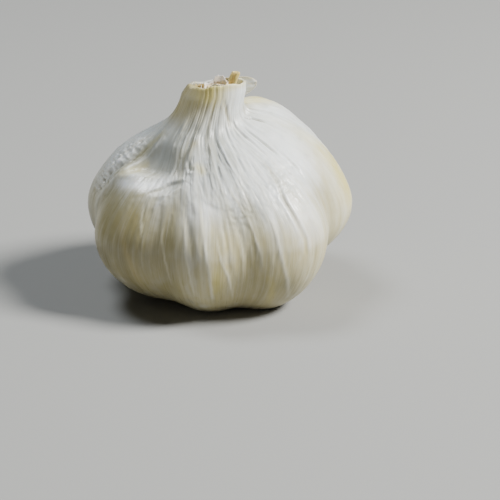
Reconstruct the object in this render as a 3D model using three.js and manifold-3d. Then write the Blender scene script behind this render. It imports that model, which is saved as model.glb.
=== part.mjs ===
// A whole garlic bulb, standing on its clove feet. Millimetres, +Z up.
// The origin is on the surface that the bulb stands on, under the middle of its outline.
// The cloves and the paper skin that holds them grew as one body, so they are one solid. The cut neck holds
// the dry leaf bases, and the root plate sits between the feet.
// A turn is an angle round the upright axis: 0 faces the front (-Y) and positive goes to the right (+X).
import * as THREE from "three";
import { mergeVertices } from "three/addons/utils/BufferGeometryUtils.js";
import Module from "manifold-3d";

const wasm = await Module();
wasm.setup();

// Each clove under the skin. turn: where it faces. reach: how far its back stands from the axis.
// half: half its breadth. belly, top, foot: heights of its widest place and its two ends.
// lean: how far its top comes in towards the neck. tuck: how far its foot comes in.
const cloves = [
  { turn: -104, reach: 29.2, half: 12.2, belly: 18.0, top: 36.3, foot: 2.6, lean: 8.2, tuck: 4.5 },
  { turn: -58, reach: 29.0, half: 13.2, belly: 15.6, top: 30.8, foot: 0.2, lean: 6.0, tuck: 4.8 },
  { turn: -9, reach: 26.6, half: 12.5, belly: 16.0, top: 34.0, foot: -1.2, lean: 10.0, tuck: 4.0 },
  { turn: 42, reach: 28.6, half: 13.0, belly: 17.0, top: 36.0, foot: -1.2, lean: 11.0, tuck: 3.6 },
  { turn: 97, reach: 29.4, half: 12.0, belly: 18.5, top: 38.5, foot: 5.0, lean: 9.5, tuck: 4.5 },
  { turn: 136, reach: 29.0, half: 12.6, belly: 20.5, top: 40.5, foot: 0.5, lean: 6.0, tuck: 4.5 },
  { turn: 180, reach: 27.0, half: 10.5, belly: 16.5, top: 37.0, foot: -0.8, lean: 11.5, tuck: 4.0 },
  { turn: -145, reach: 27.2, half: 12.0, belly: 16.5, top: 35.5, foot: -0.4, lean: 10.0, tuck: 4.5 },
];
// The form that every clove shares. depth: half its thickness, from its back towards the axis. side, topEnd,
// footEnd: how square it is across and towards its ends. leanCurve, tuckCurve: how late its ends bend in.
// scale: millimetres that one step of the form stands for.
const cloveForm = {
  depth: 12.5,
  side: 1.8,
  topEnd: 2,
  footEnd: 2.3,
  leanCurve: 1.6,
  tuckCurve: 1.8,
  farthest: 3,
  scale: 10,
};
const core = { radius: 18, height: 15, middle: 20, scale: 14 }; // what the cloves grow round

// The neck: an oval tube that leans and widens into the shoulders.
const neck = {
  radius: 6.7,
  oval: 0.86, // its depth over its width
  axisX: -0.8, // where its axis meets the cut
  axisTop: 44.6,
  leanX: 0.28, // sideways lean below the cut, over at most leanSpan of height
  leanSpan: 8,
  leanY: 0.1, // backward lean, from leanFrom up
  leanFrom: 40,
  flare: 9.0, // how much wider it is at the bottom of the flare
  flareTop: 42.5,
  flareHeight: 14.5,
  flareCurve: 1.7, // how late the flare starts
  flareEase: 0.2, // how much it eases again at the bottom
  buried: 14, // height at which it ends inside the cloves
  scale: 0.8,
};
// The plane that the neck was cut on, and the waves of its ragged edge.
const cut = {
  height: 46.3,
  slopeX: 0.08,
  slopeY: -0.17,
  ragged: [
    { size: 0.18, count: 3, phase: 0.4 },
    { size: 0.12, count: 8, phase: 1.9 },
  ],
};
const cup = { wall: 0.9, floor: 41.5 }; // the skin's thickness at the cut, and the open neck's floor

// The skin is drawn tighter over the shoulders than low down between the cloves.
const skin = { tight: 0.8, shoulder: 1.0, shoulderHeight: 30, shoulderSpan: 7 };

// The gathers of the skin round the neck. wander: how uneven they are. swell: how their depth varies.
const pleats = {
  count: 26,
  depth: 0.2,
  from: 31,
  full: 41,
  wander: [
    { size: 1.7, count: 3, phase: 0.6 },
    { size: 0.9, count: 7, phase: 2.1 },
  ],
  swell: [{ size: 0.4, count: 5, phase: 1 }],
};
// Long folds that run down from the neck: turn at the neck, turn at the belly, lowest and highest height,
// depth (negative is a groove) and half width.
const folds = [
  { neckTurn: -24, bellyTurn: -18, low: 5, high: 33, depth: 0.55, half: 1.6 },
  { neckTurn: 6, bellyTurn: 6, low: 22, high: 42, depth: -0.5, half: 1.6 },
  { neckTurn: 22, bellyTurn: 21, low: 4, high: 30, depth: 0.5, half: 1.3 },
  { neckTurn: 56, bellyTurn: 48, low: 14, high: 36, depth: -0.4, half: 1.7 },
  { neckTurn: 120, bellyTurn: 118, low: 10, high: 36, depth: 0.4, half: 1.5 },
  { neckTurn: 165, bellyTurn: 160, low: 12, high: 38, depth: -0.6, half: 1.4 },
  { neckTurn: -165, bellyTurn: -163, low: 6, high: 34, depth: 0.5, half: 1.5 },
  { neckTurn: -122, bellyTurn: -124, low: 10, high: 38, depth: -0.6, half: 1.4 },
];
const foldRun = { from: 15, full: 42, fade: 6 }; // heights over which a fold changes turn, and its fade
// Where the skin has sunk in behind a clove's top.
const hollows = [
  { at: [-13.5, -10, 31.5], across: 6.5, along: 3.8, depth: 2.8 },
  { at: [9, -17, 33], across: 6.0, along: 4.0, depth: 0.5 },
  { at: [-6, 16, 33], across: 6.0, along: 4.0, depth: 1.2 },
];
// Where the edge of the neck has folded in at the cut.
const rimTuck = { turn: -80, span: 50, depth: 1.8, from: 43.6, full: 47.4 };

// The flat pocket between the feet, and the root plate that fills it.
const pocket = { radius: 8.0, ceiling: 6.0 };
const rootPlate = { radius: 7.3, rim: 5.6, thickness: 3.2, dish: 0.5, bevel: 0.8, sides: 28 };
const rootStubs = {
  count: 46,
  radius: 0.42,
  thinnest: 0.75, // share of the radius left at a thin tip
  foot: 1.15, // share of the radius where it leaves the plate
  sunk: 0.8,
  shortest: 0.9,
  longest: 1.9,
  splay: 0.35,
  sides: 5,
};

// The peeled lobe: a rounded flap of the neck's outer skin.
const lobe = {
  turn: 156, // where it leaves the neck, along a tangent
  sunk: 0.8, // how far its root lies inside the neck's outside
  length: 7.0,
  rise: 45.9, // height of its upper edge at the neck
  lift: 1.2, // how much higher that edge is at its far end
  round: 0.9, // how much the upper corner is rounded off
  drop: 4.9, // its depth at the neck
  taper: 0.75, // how much its lower edge sweeps up towards the far end
  thickness: 0.62,
  curl: 0.7,
  along: 10,
  across: 6,
};

// The lines of the skin that the bulb's mesh follows, all seen from one point inside.
const lines = {
  count: 130, // five to a pleat
  points: 34, // steps along each line
  samples: 150, // finer steps that the even ones are picked from
  middle: 20, // height of the point
  shift: -2.2, // how far it moves sideways, for the lines that run up the neck
  shiftFrom: 10, // angles above the level between which it moves
  shiftFull: 60,
  nearest: 3, // how near and how far the skin may be
  farthest: 60,
  lowestRise: 55, // angles above the level between which the cut lies
  highestRise: 88,
  halvings: 30,
  onTheTable: 1e-4, // heights below this are nought
};
const goldenAngle = Math.PI * (3 - Math.sqrt(5));

const rad = THREE.MathUtils.degToRad;
const clamp = THREE.MathUtils.clamp;
const smooth = THREE.MathUtils.smoothstep;
const bump = (x) => Math.exp(-x * x);
const waves = (list, turn) => list.reduce((sum, w) => sum + w.size * Math.sin(w.count * turn + w.phase), 0);

function seeded(seed) {
  let state = seed;
  return () => {
    state = (state * 1664525 + 1013904223) % 4294967296;
    return state / 4294967296;
  };
}

// Centre of the neck at a height. Lower down it runs back to the bulb's own axis.
function neckAxis(z) {
  const below = clamp(neck.axisTop - z, 0, neck.leanSpan);
  const home = smooth(z, core.middle, neck.axisTop - neck.leanSpan);
  return [(neck.axisX - neck.leanX * below) * home, neck.leanY * (z - neck.leanFrom) * home];
}

// Each of these is about the distance in millimetres outside a form, negative inside it.
function cloveDistance(clove, x, y, z) {
  const turn = rad(clove.turn);
  const out = x * Math.sin(turn) - y * Math.cos(turn);
  const side = Math.abs(x * Math.cos(turn) + y * Math.sin(turn));
  const above = z > clove.belly;
  const end = above
    ? (z - clove.belly) / (clove.top - clove.belly)
    : (clove.belly - z) / (clove.belly - clove.foot);
  const s = clamp(end, 0, cloveForm.farthest);
  const shift = above ? clove.lean * s ** cloveForm.leanCurve : clove.tuck * s ** cloveForm.tuckCurve;
  const centre = clove.reach - cloveForm.depth - shift;
  const ends = s ** (above ? cloveForm.topEnd : cloveForm.footEnd);
  const round = ((out - centre) / cloveForm.depth) ** 2 + (side / clove.half) ** cloveForm.side + ends;
  return cloveForm.scale * (Math.sqrt(round) - 1);
}

function neckDistance(x, y, z) {
  const [cx, cy] = neckAxis(z);
  const w = clamp((neck.flareTop - z) / neck.flareHeight, 0, 1);
  const radius = neck.radius + neck.flare * w ** neck.flareCurve * (1 - neck.flareEase * w);
  const away = Math.hypot(x - cx, (y - cy) / neck.oval);
  return Math.max(neck.scale * (away - radius), neck.buried - z);
}

function coreDistance(x, y, z) {
  return core.scale * (Math.hypot(x / core.radius, y / core.radius, (z - core.middle) / core.height) - 1);
}

// The smallest angle between two turns, in radians.
function between(turn, other) {
  return Math.atan2(Math.sin(turn - other), Math.cos(turn - other));
}

// How far the edge of the neck has folded in at the cut.
function tuckedIn(turn) {
  return rimTuck.depth * bump(between(turn, rad(rimTuck.turn)) / rad(rimTuck.span));
}

// The folds, pleats and hollows of the skin, in millimetres outwards.
function relief(x, y, z) {
  const [cx, cy] = neckAxis(z);
  const turn = Math.atan2(x - cx, cy - y);
  const round = Math.hypot(x - cx, y - cy);
  const strength = (1 + waves(pleats.swell, turn)) * smooth(z, pleats.from, pleats.full);
  let out = pleats.depth * strength * Math.cos(pleats.count * turn + waves(pleats.wander, turn));
  const up = smooth(z, foldRun.from, foldRun.full);
  for (const fold of folds) {
    const line = rad(fold.bellyTurn + (fold.neckTurn - fold.bellyTurn) * up);
    const off = between(turn, line) * round;
    const start = smooth(z, fold.low, fold.low + foldRun.fade);
    const end = 1 - smooth(z, fold.high - foldRun.fade, fold.high);
    out += fold.depth * start * end * bump(off / fold.half);
  }
  for (const hollow of hollows) {
    const [hx, hy, hz] = hollow.at;
    const h = Math.hypot(hx, hy);
    const along = ((x - hx) * hx + (y - hy) * hy) / h;
    const across = ((y - hy) * hx - (x - hx) * hy) / h;
    out -= hollow.depth * bump(across / hollow.across) * bump(Math.hypot(along, z - hz) / hollow.along);
  }
  return out - smooth(z, rimTuck.from, rimTuck.full) * tuckedIn(turn);
}

// The whole outer form: the cloves, the core and the neck under one skin, cut flat where it stands.
function outside(x, y, z) {
  const blend = skin.tight + skin.shoulder * bump((z - skin.shoulderHeight) / skin.shoulderSpan);
  const near = cloves.map((clove) => cloveDistance(clove, x, y, z));
  near.push(neckDistance(x, y, z), coreDistance(x, y, z));
  const least = Math.min(...near);
  const sum = near.reduce((total, d) => total + Math.exp((least - d) / blend), 0);
  return Math.max(least - blend * Math.log(sum) - relief(x, y, z), -z);
}

// The point of the skin seen from the middle of the bulb, at an angle round it and an angle above the level.
function skinPoint(round, rise) {
  const way = [Math.cos(rise) * Math.sin(round), -Math.cos(rise) * Math.cos(round), Math.sin(rise)];
  const shift = lines.shift * smooth(rise, rad(lines.shiftFrom), rad(lines.shiftFull));
  const at = (reach) => [shift + way[0] * reach, way[1] * reach, lines.middle + way[2] * reach];
  let inner = lines.nearest;
  let outer = lines.farthest;
  for (let i = 0; i < lines.halvings; i++) {
    const reach = (inner + outer) / 2;
    if (outside(...at(reach)) < 0) inner = reach;
    else outer = reach;
  }
  const [x, y, z] = at(inner);
  return [x, y, Math.abs(z) < lines.onTheTable ? 0 : z];
}

// Height of the ragged cut at a place.
function cutHeight(x, y) {
  const turn = Math.atan2(x - neck.axisX, -y);
  return cut.height + cut.slopeX * x + cut.slopeY * y + waves(cut.ragged, turn);
}

// Where the skin meets the cut, as an angle above the level.
function riseOfCut(round) {
  let low = rad(lines.lowestRise);
  let high = rad(lines.highestRise);
  for (let i = 0; i < lines.halvings; i++) {
    const rise = (low + high) / 2;
    const [x, y, z] = skinPoint(round, rise);
    if (z < cutHeight(x, y)) low = rise;
    else high = rise;
  }
  return low;
}

// One line of the skin from the pocket up to the cut, in steps of even length.
function meridian(round) {
  const first = -Math.atan2(lines.middle - pocket.ceiling / 2, pocket.radius);
  const last = riseOfCut(round);
  const samples = lines.samples;
  const line = Array.from({ length: samples + 1 }, (_, i) =>
    skinPoint(round, first + ((last - first) * i) / samples),
  );
  const along = [0];
  for (let i = 1; i <= samples; i++) {
    const [a, b] = [line[i - 1], line[i]];
    along.push(along[i - 1] + Math.hypot(b[0] - a[0], b[1] - a[1], b[2] - a[2]));
  }
  const points = [];
  let i = 0;
  for (let row = 0; row <= lines.points; row++) {
    const want = (along[samples] * row) / lines.points;
    while (i < samples - 1 && along[i + 1] < want) i++;
    const t = clamp((want - along[i]) / (along[i + 1] - along[i]), 0, 1);
    points.push(line[i].map((v, k) => v + (line[i + 1][k] - v) * t));
  }
  return points;
}

// A closed body from rings of points, with one point at each end.
function ringSolid(start, rings, finish) {
  const n = rings[0].length;
  const points = [start, ...rings.flat(), finish];
  const at = (ring, i) => 1 + ring * n + (i % n);
  const faces = [];
  for (let i = 0; i < n; i++) {
    faces.push(0, at(0, i + 1), at(0, i));
    for (let ring = 0; ring < rings.length - 1; ring++) {
      faces.push(at(ring, i), at(ring, i + 1), at(ring + 1, i + 1));
      faces.push(at(ring, i), at(ring + 1, i + 1), at(ring + 1, i));
    }
    faces.push(points.length - 1, at(rings.length - 1, i), at(rings.length - 1, i + 1));
  }
  return geometryOf(points, faces);
}

function geometryOf(points, faces) {
  return new THREE.BufferGeometry()
    .setAttribute("position", new THREE.BufferAttribute(new Float32Array(points.flat()), 3))
    .setIndex(faces);
}

// A closed thin body from two matching sheets of points, each a list of rows.
function sheetSolid(front, back) {
  const [n, m] = [front.length, front[0].length];
  const points = [...front.flat(), ...back.flat()];
  const f = (i, j) => i * m + j;
  const b = (i, j) => n * m + i * m + j;
  const faces = [];
  const quad = (p, q, r, s) => faces.push(p, q, r, p, r, s);
  for (let i = 0; i < n - 1; i++) {
    for (let j = 0; j < m - 1; j++) {
      quad(f(i, j), f(i, j + 1), f(i + 1, j + 1), f(i + 1, j));
      quad(b(i, j), b(i + 1, j), b(i + 1, j + 1), b(i, j + 1));
    }
    quad(f(i, 0), f(i + 1, 0), b(i + 1, 0), b(i, 0));
    quad(f(i, m - 1), b(i, m - 1), b(i + 1, m - 1), f(i + 1, m - 1));
  }
  for (let j = 0; j < m - 1; j++) {
    quad(f(0, j), b(0, j), b(0, j + 1), f(0, j + 1));
    quad(f(n - 1, j), f(n - 1, j + 1), b(n - 1, j + 1), b(n - 1, j));
  }
  return geometryOf(points, faces);
}

// A place in the neck: a turn round its axis, a distance from it and a height.
function inNeck(turn, radius, z) {
  const [cx, cy] = neckAxis(z);
  const r = radius * (1 - tuckedIn(turn) / neck.radius);
  return [cx + r * Math.sin(turn), cy - r * neck.oval * Math.cos(turn), z];
}

// The cloves and their skin, from the pocket's ceiling over the outside to the cut and down into the cup.
function bulb() {
  const rounds = Array.from({ length: lines.count }, (_, i) => (2 * Math.PI * i) / lines.count);
  const skinLines = rounds.map(meridian);
  const corners = rounds.map((round) => [
    pocket.radius * Math.sin(round),
    -pocket.radius * Math.cos(round),
    pocket.ceiling,
  ]);
  const rings = [corners];
  for (let row = 0; row <= lines.points; row++) rings.push(skinLines.map((line) => line[row]));
  const rim = skinLines.map((line) => line[lines.points]);
  const inside = (z) => ([x, y, top]) => {
    const [cx, cy] = neckAxis(z ?? top);
    const [ox, oy] = neckAxis(top);
    const away = Math.hypot(x - ox, y - oy);
    const share = (away - cup.wall) / away;
    return [cx + (x - ox) * share, cy + (y - oy) * share, z ?? top];
  };
  rings.push(rim.map(inside()), rim.map(inside(cup.floor)));
  const [fx, fy] = neckAxis(cup.floor);
  return ringSolid([0, 0, pocket.ceiling], rings, [fx, fy, cup.floor]);
}

// A dry leaf base: a strip rolled round the neck's axis, standing on the floor of the cup.
// from and to: turns of its two edges. radius: at its start and end. proud: height above the cut.
// peak: a torn scrap that stands up from its edge.
// wave, count and phase: how far it winds in and out, how often and from where.
function leafBase({ from, to, radius, thickness, proud, wave, count, phase, peak, steps }) {
  const side = (offset) =>
    [0, 0.5, 1].map((level) =>
      Array.from({ length: steps + 1 }, (_, i) => {
        const share = i / steps;
        const turn = rad(from + (to - from) * share);
        const winding = 0.5 * wave * Math.sin(count * turn + phase);
        const r = radius[0] + (radius[1] - radius[0]) * share + winding + offset;
        const [tx, ty] = inNeck(turn, r, cut.height);
        const scrap = peak.height * bump((turn - rad(peak.turn)) / rad(peak.half));
        const edge = wave * Math.sin(0.6 * count * turn + phase + 1);
        const top = cutHeight(tx, ty) + proud + edge + scrap;
        return inNeck(turn, r, cup.floor + (top - cup.floor) * level);
      }),
    );
  return sheetSolid(side(thickness / 2), side(-thickness / 2));
}

// A short dry stem: oval rings along a path up from the floor of the cup, lumpy and ragged at the end.
// rings: share of the path, half width and half depth. turn: which way its broad side faces.
function dryStem({ path, rings, turn, sides, lumps }) {
  const curve = new THREE.CatmullRomCurve3(path.map((p) => new THREE.Vector3(...p)));
  const [cos, sin] = [Math.cos(rad(turn)), Math.sin(rad(turn))];
  const hoops = rings.map(([share, width, depth]) => {
    const p = curve.getPoint(share);
    return Array.from({ length: sides }, (_, i) => {
      const t = (2 * Math.PI * i) / sides;
      const r = 1 + waves(lumps, t + share);
      const [a, b] = [width * r * Math.cos(t), depth * r * Math.sin(t)];
      const ragged = share > 0.5 ? width * waves(lumps, t) : 0;
      return [p.x + a * cos - b * sin, p.y + a * sin + b * cos, p.z + ragged];
    });
  });
  const [start, end] = [curve.getPoint(0), curve.getPoint(1)];
  return ringSolid(start.toArray(), hoops, end.toArray());
}

// The flap of skin that has peeled away from the neck at the back.
function peeledLobe() {
  const { along, across, length, thickness, curl } = lobe;
  const a = rad(lobe.turn);
  const [rootX, rootY] = inNeck(a, neck.radius - lobe.sunk, cut.height);
  const side = (offset) =>
    Array.from({ length: across + 1 }, (_, i) =>
      Array.from({ length: along + 1 }, (_, j) => {
        const u = j / along;
        const v = i / across;
        const edge = lobe.rise + lobe.lift * u;
        const high = edge - lobe.round * u ** 6;
        const low = edge - lobe.drop * Math.sqrt(1 - lobe.taper * u ** 2.5);
        const z = low + (high - low) * v;
        const out = curl * u * u * (1 + 0.5 * v * v) + offset;
        const x = rootX - length * u * Math.cos(a) + out * Math.sin(a);
        const y = rootY - length * u * Math.sin(a) - out * Math.cos(a);
        return [x, y, z];
      }),
    );
  return sheetSolid(side(-thickness / 2), side(thickness / 2));
}

function solidOf(geometry) {
  const merged = mergeVertices(geometry.deleteAttribute("normal").deleteAttribute("uv"), 1e-4);
  return new wasm.Manifold(
    new wasm.Mesh({
      numProp: 3,
      vertProperties: new Float32Array(merged.attributes.position.array),
      triVerts: new Uint32Array(merged.index.array),
    }),
  );
}

function geometryOfSolid(solid) {
  const mesh = solid.getMesh();
  return new THREE.BufferGeometry()
    .setAttribute("position", new THREE.BufferAttribute(mesh.vertProperties, 3))
    .setIndex(new THREE.BufferAttribute(mesh.triVerts, 1));
}

// The woody plate that the roots grew from, with the trimmed roots fused to its underside.
function rootDisc() {
  const top = pocket.ceiling;
  const bottom = top - rootPlate.thickness;
  const { radius, rim, dish, bevel } = rootPlate;
  const profile = [
    [0, bottom + dish],
    [rim * 0.6, bottom + dish * 0.4],
    [rim, bottom],
    [radius, bottom + bevel],
    [radius, top - bevel],
    [radius - bevel, top],
    [0, top],
  ];
  const disc = new THREE.LatheGeometry(
    profile.map(([r, z]) => new THREE.Vector2(r, z)),
    rootPlate.sides,
  ).rotateX(Math.PI / 2);
  const random = seeded(7);
  let body = solidOf(disc);
  for (let i = 0; i < rootStubs.count; i++) {
    const away = (rim + bevel) * Math.sqrt((i + 0.5) / rootStubs.count);
    const round = i * goldenAngle;
    const tall = rootStubs.sunk + THREE.MathUtils.lerp(rootStubs.shortest, rootStubs.longest, random());
    const tip = rootStubs.radius * THREE.MathUtils.lerp(rootStubs.thinnest, 1, random());
    const stub = new THREE.CylinderGeometry(rootStubs.radius * rootStubs.foot, tip, tall, rootStubs.sides)
      .rotateX(Math.PI / 2)
      .translate(0, 0, rootStubs.sunk - tall / 2)
      .rotateY(-rootStubs.splay * (away / radius))
      .rotateZ(round)
      .translate(away * Math.cos(round), away * Math.sin(round), bottom + dish);
    body = body.add(solidOf(stub));
  }
  return geometryOfSolid(body);
}

const paper = new THREE.MeshStandardMaterial({ color: 0xe6e4da, roughness: 0.5, metalness: 0 });
const sheath = new THREE.MeshStandardMaterial({ color: 0xdcd2ae, roughness: 0.6, metalness: 0 });
const innerSheath = new THREE.MeshStandardMaterial({ color: 0xd8c3ac, roughness: 0.65, metalness: 0 });
const straw = new THREE.MeshStandardMaterial({ color: 0xc9a25c, roughness: 0.7, metalness: 0 });
const ochre = new THREE.MeshStandardMaterial({ color: 0xc48f3f, roughness: 0.7, metalness: 0 });
const root = new THREE.MeshStandardMaterial({ color: 0xa98f68, roughness: 0.9, metalness: 0 });

const garlic = new THREE.Group();
function add(name, geometry, material) {
  geometry.computeVertexNormals();
  const mesh = new THREE.Mesh(geometry, material);
  mesh.name = name;
  garlic.add(mesh);
  return mesh;
}

const body = add("bulb", geometryOfSolid(solidOf(bulb()).add(solidOf(peeledLobe()))), paper);
add(
  "outer_leaf_base",
  leafBase({
    from: -200,
    to: 95,
    radius: [4.4, 4.1],
    thickness: 0.7,
    proud: -0.2,
    wave: 0.3,
    count: 5,
    phase: 0.4,
    peak: { turn: -140, half: 22, height: 0.6 },
    steps: 44,
  }),
  sheath,
);
add(
  "inner_leaf_base",
  leafBase({
    from: 25,
    to: 320,
    radius: [2.9, 2.8],
    thickness: 0.6,
    proud: -0.1,
    wave: 0.12,
    count: 4,
    phase: 1.3,
    peak: { turn: 152, half: 24, height: 1.5 },
    steps: 32,
  }),
  innerSheath,
);
add(
  "stalk",
  dryStem({
    path: [
      [-1.3, 0.2, cup.floor],
      [-1.1, 0.3, 43],
      [-0.8, 0.3, 44.6],
      [-0.6, 0.4, 45.4],
    ],
    rings: [
      [0, 1.7, 1.4],
      [0.4, 1.6, 1.3],
      [0.93, 1.75, 1.4],
      [0.97, 1.0, 0.8],
    ],
    turn: 20,
    sides: 14,
    lumps: [
      { size: 0.08, count: 3, phase: 0.5 },
      { size: 0.04, count: 5, phase: 1 },
    ],
  }),
  straw,
);
add(
  "dry_leaf_stub",
  dryStem({
    path: [
      [2.2, 2.7, cup.floor],
      [2.5, 2.8, 44],
      [3.1, 2.7, 46.2],
      [4.0, 2.6, 48.0],
    ],
    rings: [
      [0, 1.0, 0.6],
      [0.45, 1.0, 0.55],
      [0.75, 1.1, 0.7],
      [0.97, 1.15, 0.8],
      [0.99, 0.6, 0.4],
    ],
    turn: -28,
    sides: 14,
    lumps: [
      { size: 0.1, count: 3, phase: 0.5 },
      { size: 0.05, count: 5, phase: 1 },
    ],
  }),
  ochre,
);
add("root_plate", rootDisc(), root);

// The origin goes under the middle of the bulb's outline.
const box = new THREE.Box3().setFromObject(body);
const centre = box.getCenter(new THREE.Vector3());
garlic.position.set(-centre.x, -centre.y, -box.min.z);

export default garlic;
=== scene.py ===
import math

import bpy
import numpy as np
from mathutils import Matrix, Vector


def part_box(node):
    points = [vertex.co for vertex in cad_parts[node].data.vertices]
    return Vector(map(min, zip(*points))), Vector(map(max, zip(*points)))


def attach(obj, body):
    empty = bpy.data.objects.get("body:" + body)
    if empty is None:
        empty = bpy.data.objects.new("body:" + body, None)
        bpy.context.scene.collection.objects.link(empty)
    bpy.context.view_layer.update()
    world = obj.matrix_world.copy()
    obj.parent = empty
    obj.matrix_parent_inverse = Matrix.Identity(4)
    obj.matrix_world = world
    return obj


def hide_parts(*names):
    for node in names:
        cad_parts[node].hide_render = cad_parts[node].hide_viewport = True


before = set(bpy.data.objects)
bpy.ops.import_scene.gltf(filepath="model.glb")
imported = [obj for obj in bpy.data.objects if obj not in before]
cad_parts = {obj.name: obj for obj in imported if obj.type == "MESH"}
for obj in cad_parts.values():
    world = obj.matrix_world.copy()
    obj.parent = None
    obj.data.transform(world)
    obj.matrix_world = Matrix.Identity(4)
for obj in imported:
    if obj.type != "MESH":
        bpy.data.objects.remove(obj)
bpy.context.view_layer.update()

mm = 0.001  # the garlic's own numbers are in millimetres, Blender's are in metres
print("frame loaded:", sorted(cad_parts))

# Photo view: the camera looks down on the bulb, which stands left of and below the middle of the picture.
photoView = {
    "distance": 0.45, "elevation": 22.0, "lens": 146.8, "sensor": 36.0, "right": 0.0066, "up": 0.0075,
}

# Studio: one soft key from the upper right, a weak cool light from above and a trace of warm fill.
studio = {
    "key": {"place": (0.68, -0.12, 0.66), "size": 0.30, "watts": 24.5, "colour": (1.0, 0.995, 0.97)},
    "top": {"place": (-0.32, 0.18, 0.82), "size": 0.34, "watts": 5.5, "colour": (0.90, 0.95, 1.0)},
    "fill": {"place": (-0.65, -0.60, 0.28), "size": 0.50, "watts": 0.3, "colour": (1.0, 0.93, 0.80)},
    "room": (0.86, 0.87, 0.86),
    "roomStrength": 0.05,
    "floor": (0.30, 0.30, 0.29),
    "floorHalf": 3.0,
    "aim": (0, 0, 0.022),
}


def placeCamera():
    tilt = math.radians(photoView["elevation"])
    toCamera = Vector((0, -math.cos(tilt), math.sin(tilt)))
    pictureUp = Vector((0, math.sin(tilt), math.cos(tilt)))
    lens = bpy.data.cameras.new("photoCamera")
    lens.lens = photoView["lens"]
    lens.sensor_width = photoView["sensor"]
    lens.clip_start = 0.01
    camera = bpy.data.objects.new("photoCamera", lens)
    camera.location = toCamera * photoView["distance"]
    aim = Vector((photoView["right"], 0, 0)) + pictureUp * photoView["up"]
    camera.rotation_euler = (aim - camera.location).to_track_quat("-Z", "Y").to_euler()
    bpy.context.scene.collection.objects.link(camera)
    bpy.context.scene.camera = camera


def areaLight(name, facts):
    lamp = bpy.data.lights.new(name, "AREA")
    lamp.shape = "DISK"
    lamp.size = facts["size"]
    lamp.energy = facts["watts"]
    lamp.color = facts["colour"]
    light = bpy.data.objects.new(name, lamp)
    light.location = facts["place"]
    toBulb = Vector(studio["aim"]) - light.location
    light.rotation_euler = toBulb.to_track_quat("-Z", "Y").to_euler()
    bpy.context.scene.collection.objects.link(light)


def setStage():
    floorMesh = bpy.data.meshes.new("studioFloor")
    half = studio["floorHalf"]
    corners = [(-half, -half, 0), (half, -half, 0), (half, half, 0), (-half, half, 0)]
    floorMesh.from_pydata(corners, [], [(0, 1, 2, 3)])
    floor = bpy.data.objects.new("studioFloor", floorMesh)
    bpy.context.scene.collection.objects.link(floor)
    finish = bpy.data.materials.new("paleFloor")
    finish.use_nodes = True
    shader = finish.node_tree.nodes["Principled BSDF"]
    shader.inputs["Base Color"].default_value = (*studio["floor"], 1)
    shader.inputs["Roughness"].default_value = 0.9
    shader.inputs["Specular IOR Level"].default_value = 0.1
    floorMesh.materials.append(finish)
    world = bpy.data.worlds.new("studioRoom")
    world.use_nodes = True
    sky = world.node_tree.nodes["Background"]
    sky.inputs["Color"].default_value = (*studio["room"], 1)
    sky.inputs["Strength"].default_value = studio["roomStrength"]
    bpy.context.scene.world = world
    for name in ("key", "top", "fill"):
        areaLight(name + "Light", studio[name])


placeCamera()
setStage()
print("camera, floor and lights are in place")


# Small shapes for numbers, used by every piece.
def smooth(x, low, high):
    t = np.clip((x - low) / (high - low), 0, 1)
    return t * t * (3 - 2 * t)


def bump(x):
    return np.exp(-x * x)


def between(turn, other):
    return np.arctan2(np.sin(turn - other), np.cos(turn - other))


# A soft spot on the skin: 1 at its turn and height, with a half width in degrees and a half height.
def spot(turn, z, centre, half, height, reach):
    return bump(between(turn, math.radians(centre)) / math.radians(half)) * bump((z - height) / reach)


# Smooth noise on a lattice, about -1 to 1, the same each run. A place may mix arrays and single numbers.
def noise(x, y, z, seed):
    draw = np.random.RandomState(seed)
    order = draw.permutation(256)
    slope = draw.normal(size=(256, 3))
    slope /= np.linalg.norm(slope, axis=1)[:, None]
    whole = [np.floor(v).astype(int) for v in (x, y, z)]
    part = [v - w for v, w in zip((x, y, z), whole)]
    ease = [p * p * p * (p * (p * 6 - 15) + 10) for p in part]
    total = 0
    for corner in range(8):
        step = [(corner >> k) & 1 for k in range(3)]
        key = order[(whole[0] + step[0]) & 255]
        key = order[(key + whole[1] + step[1]) & 255]
        key = order[(key + whole[2] + step[2]) & 255]
        weight = 1.0
        dot = 0.0
        for k in range(3):
            weight = weight * (ease[k] if step[k] else 1 - ease[k])
            dot = dot + slope[key, k] * (part[k] - step[k])
        total = total + weight * dot
    return 1.6 * total


# Three layers of it, each finer and weaker than the one before.
def layered(x, y, z, seed):
    return sum(noise(x * size, y * size, z * size, seed + k) / size for k, size in enumerate((1, 2, 4))) / 1.6


def waves(rows, turn):
    return sum(size * np.sin(count * turn + phase) for size, count, phase in rows)


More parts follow.
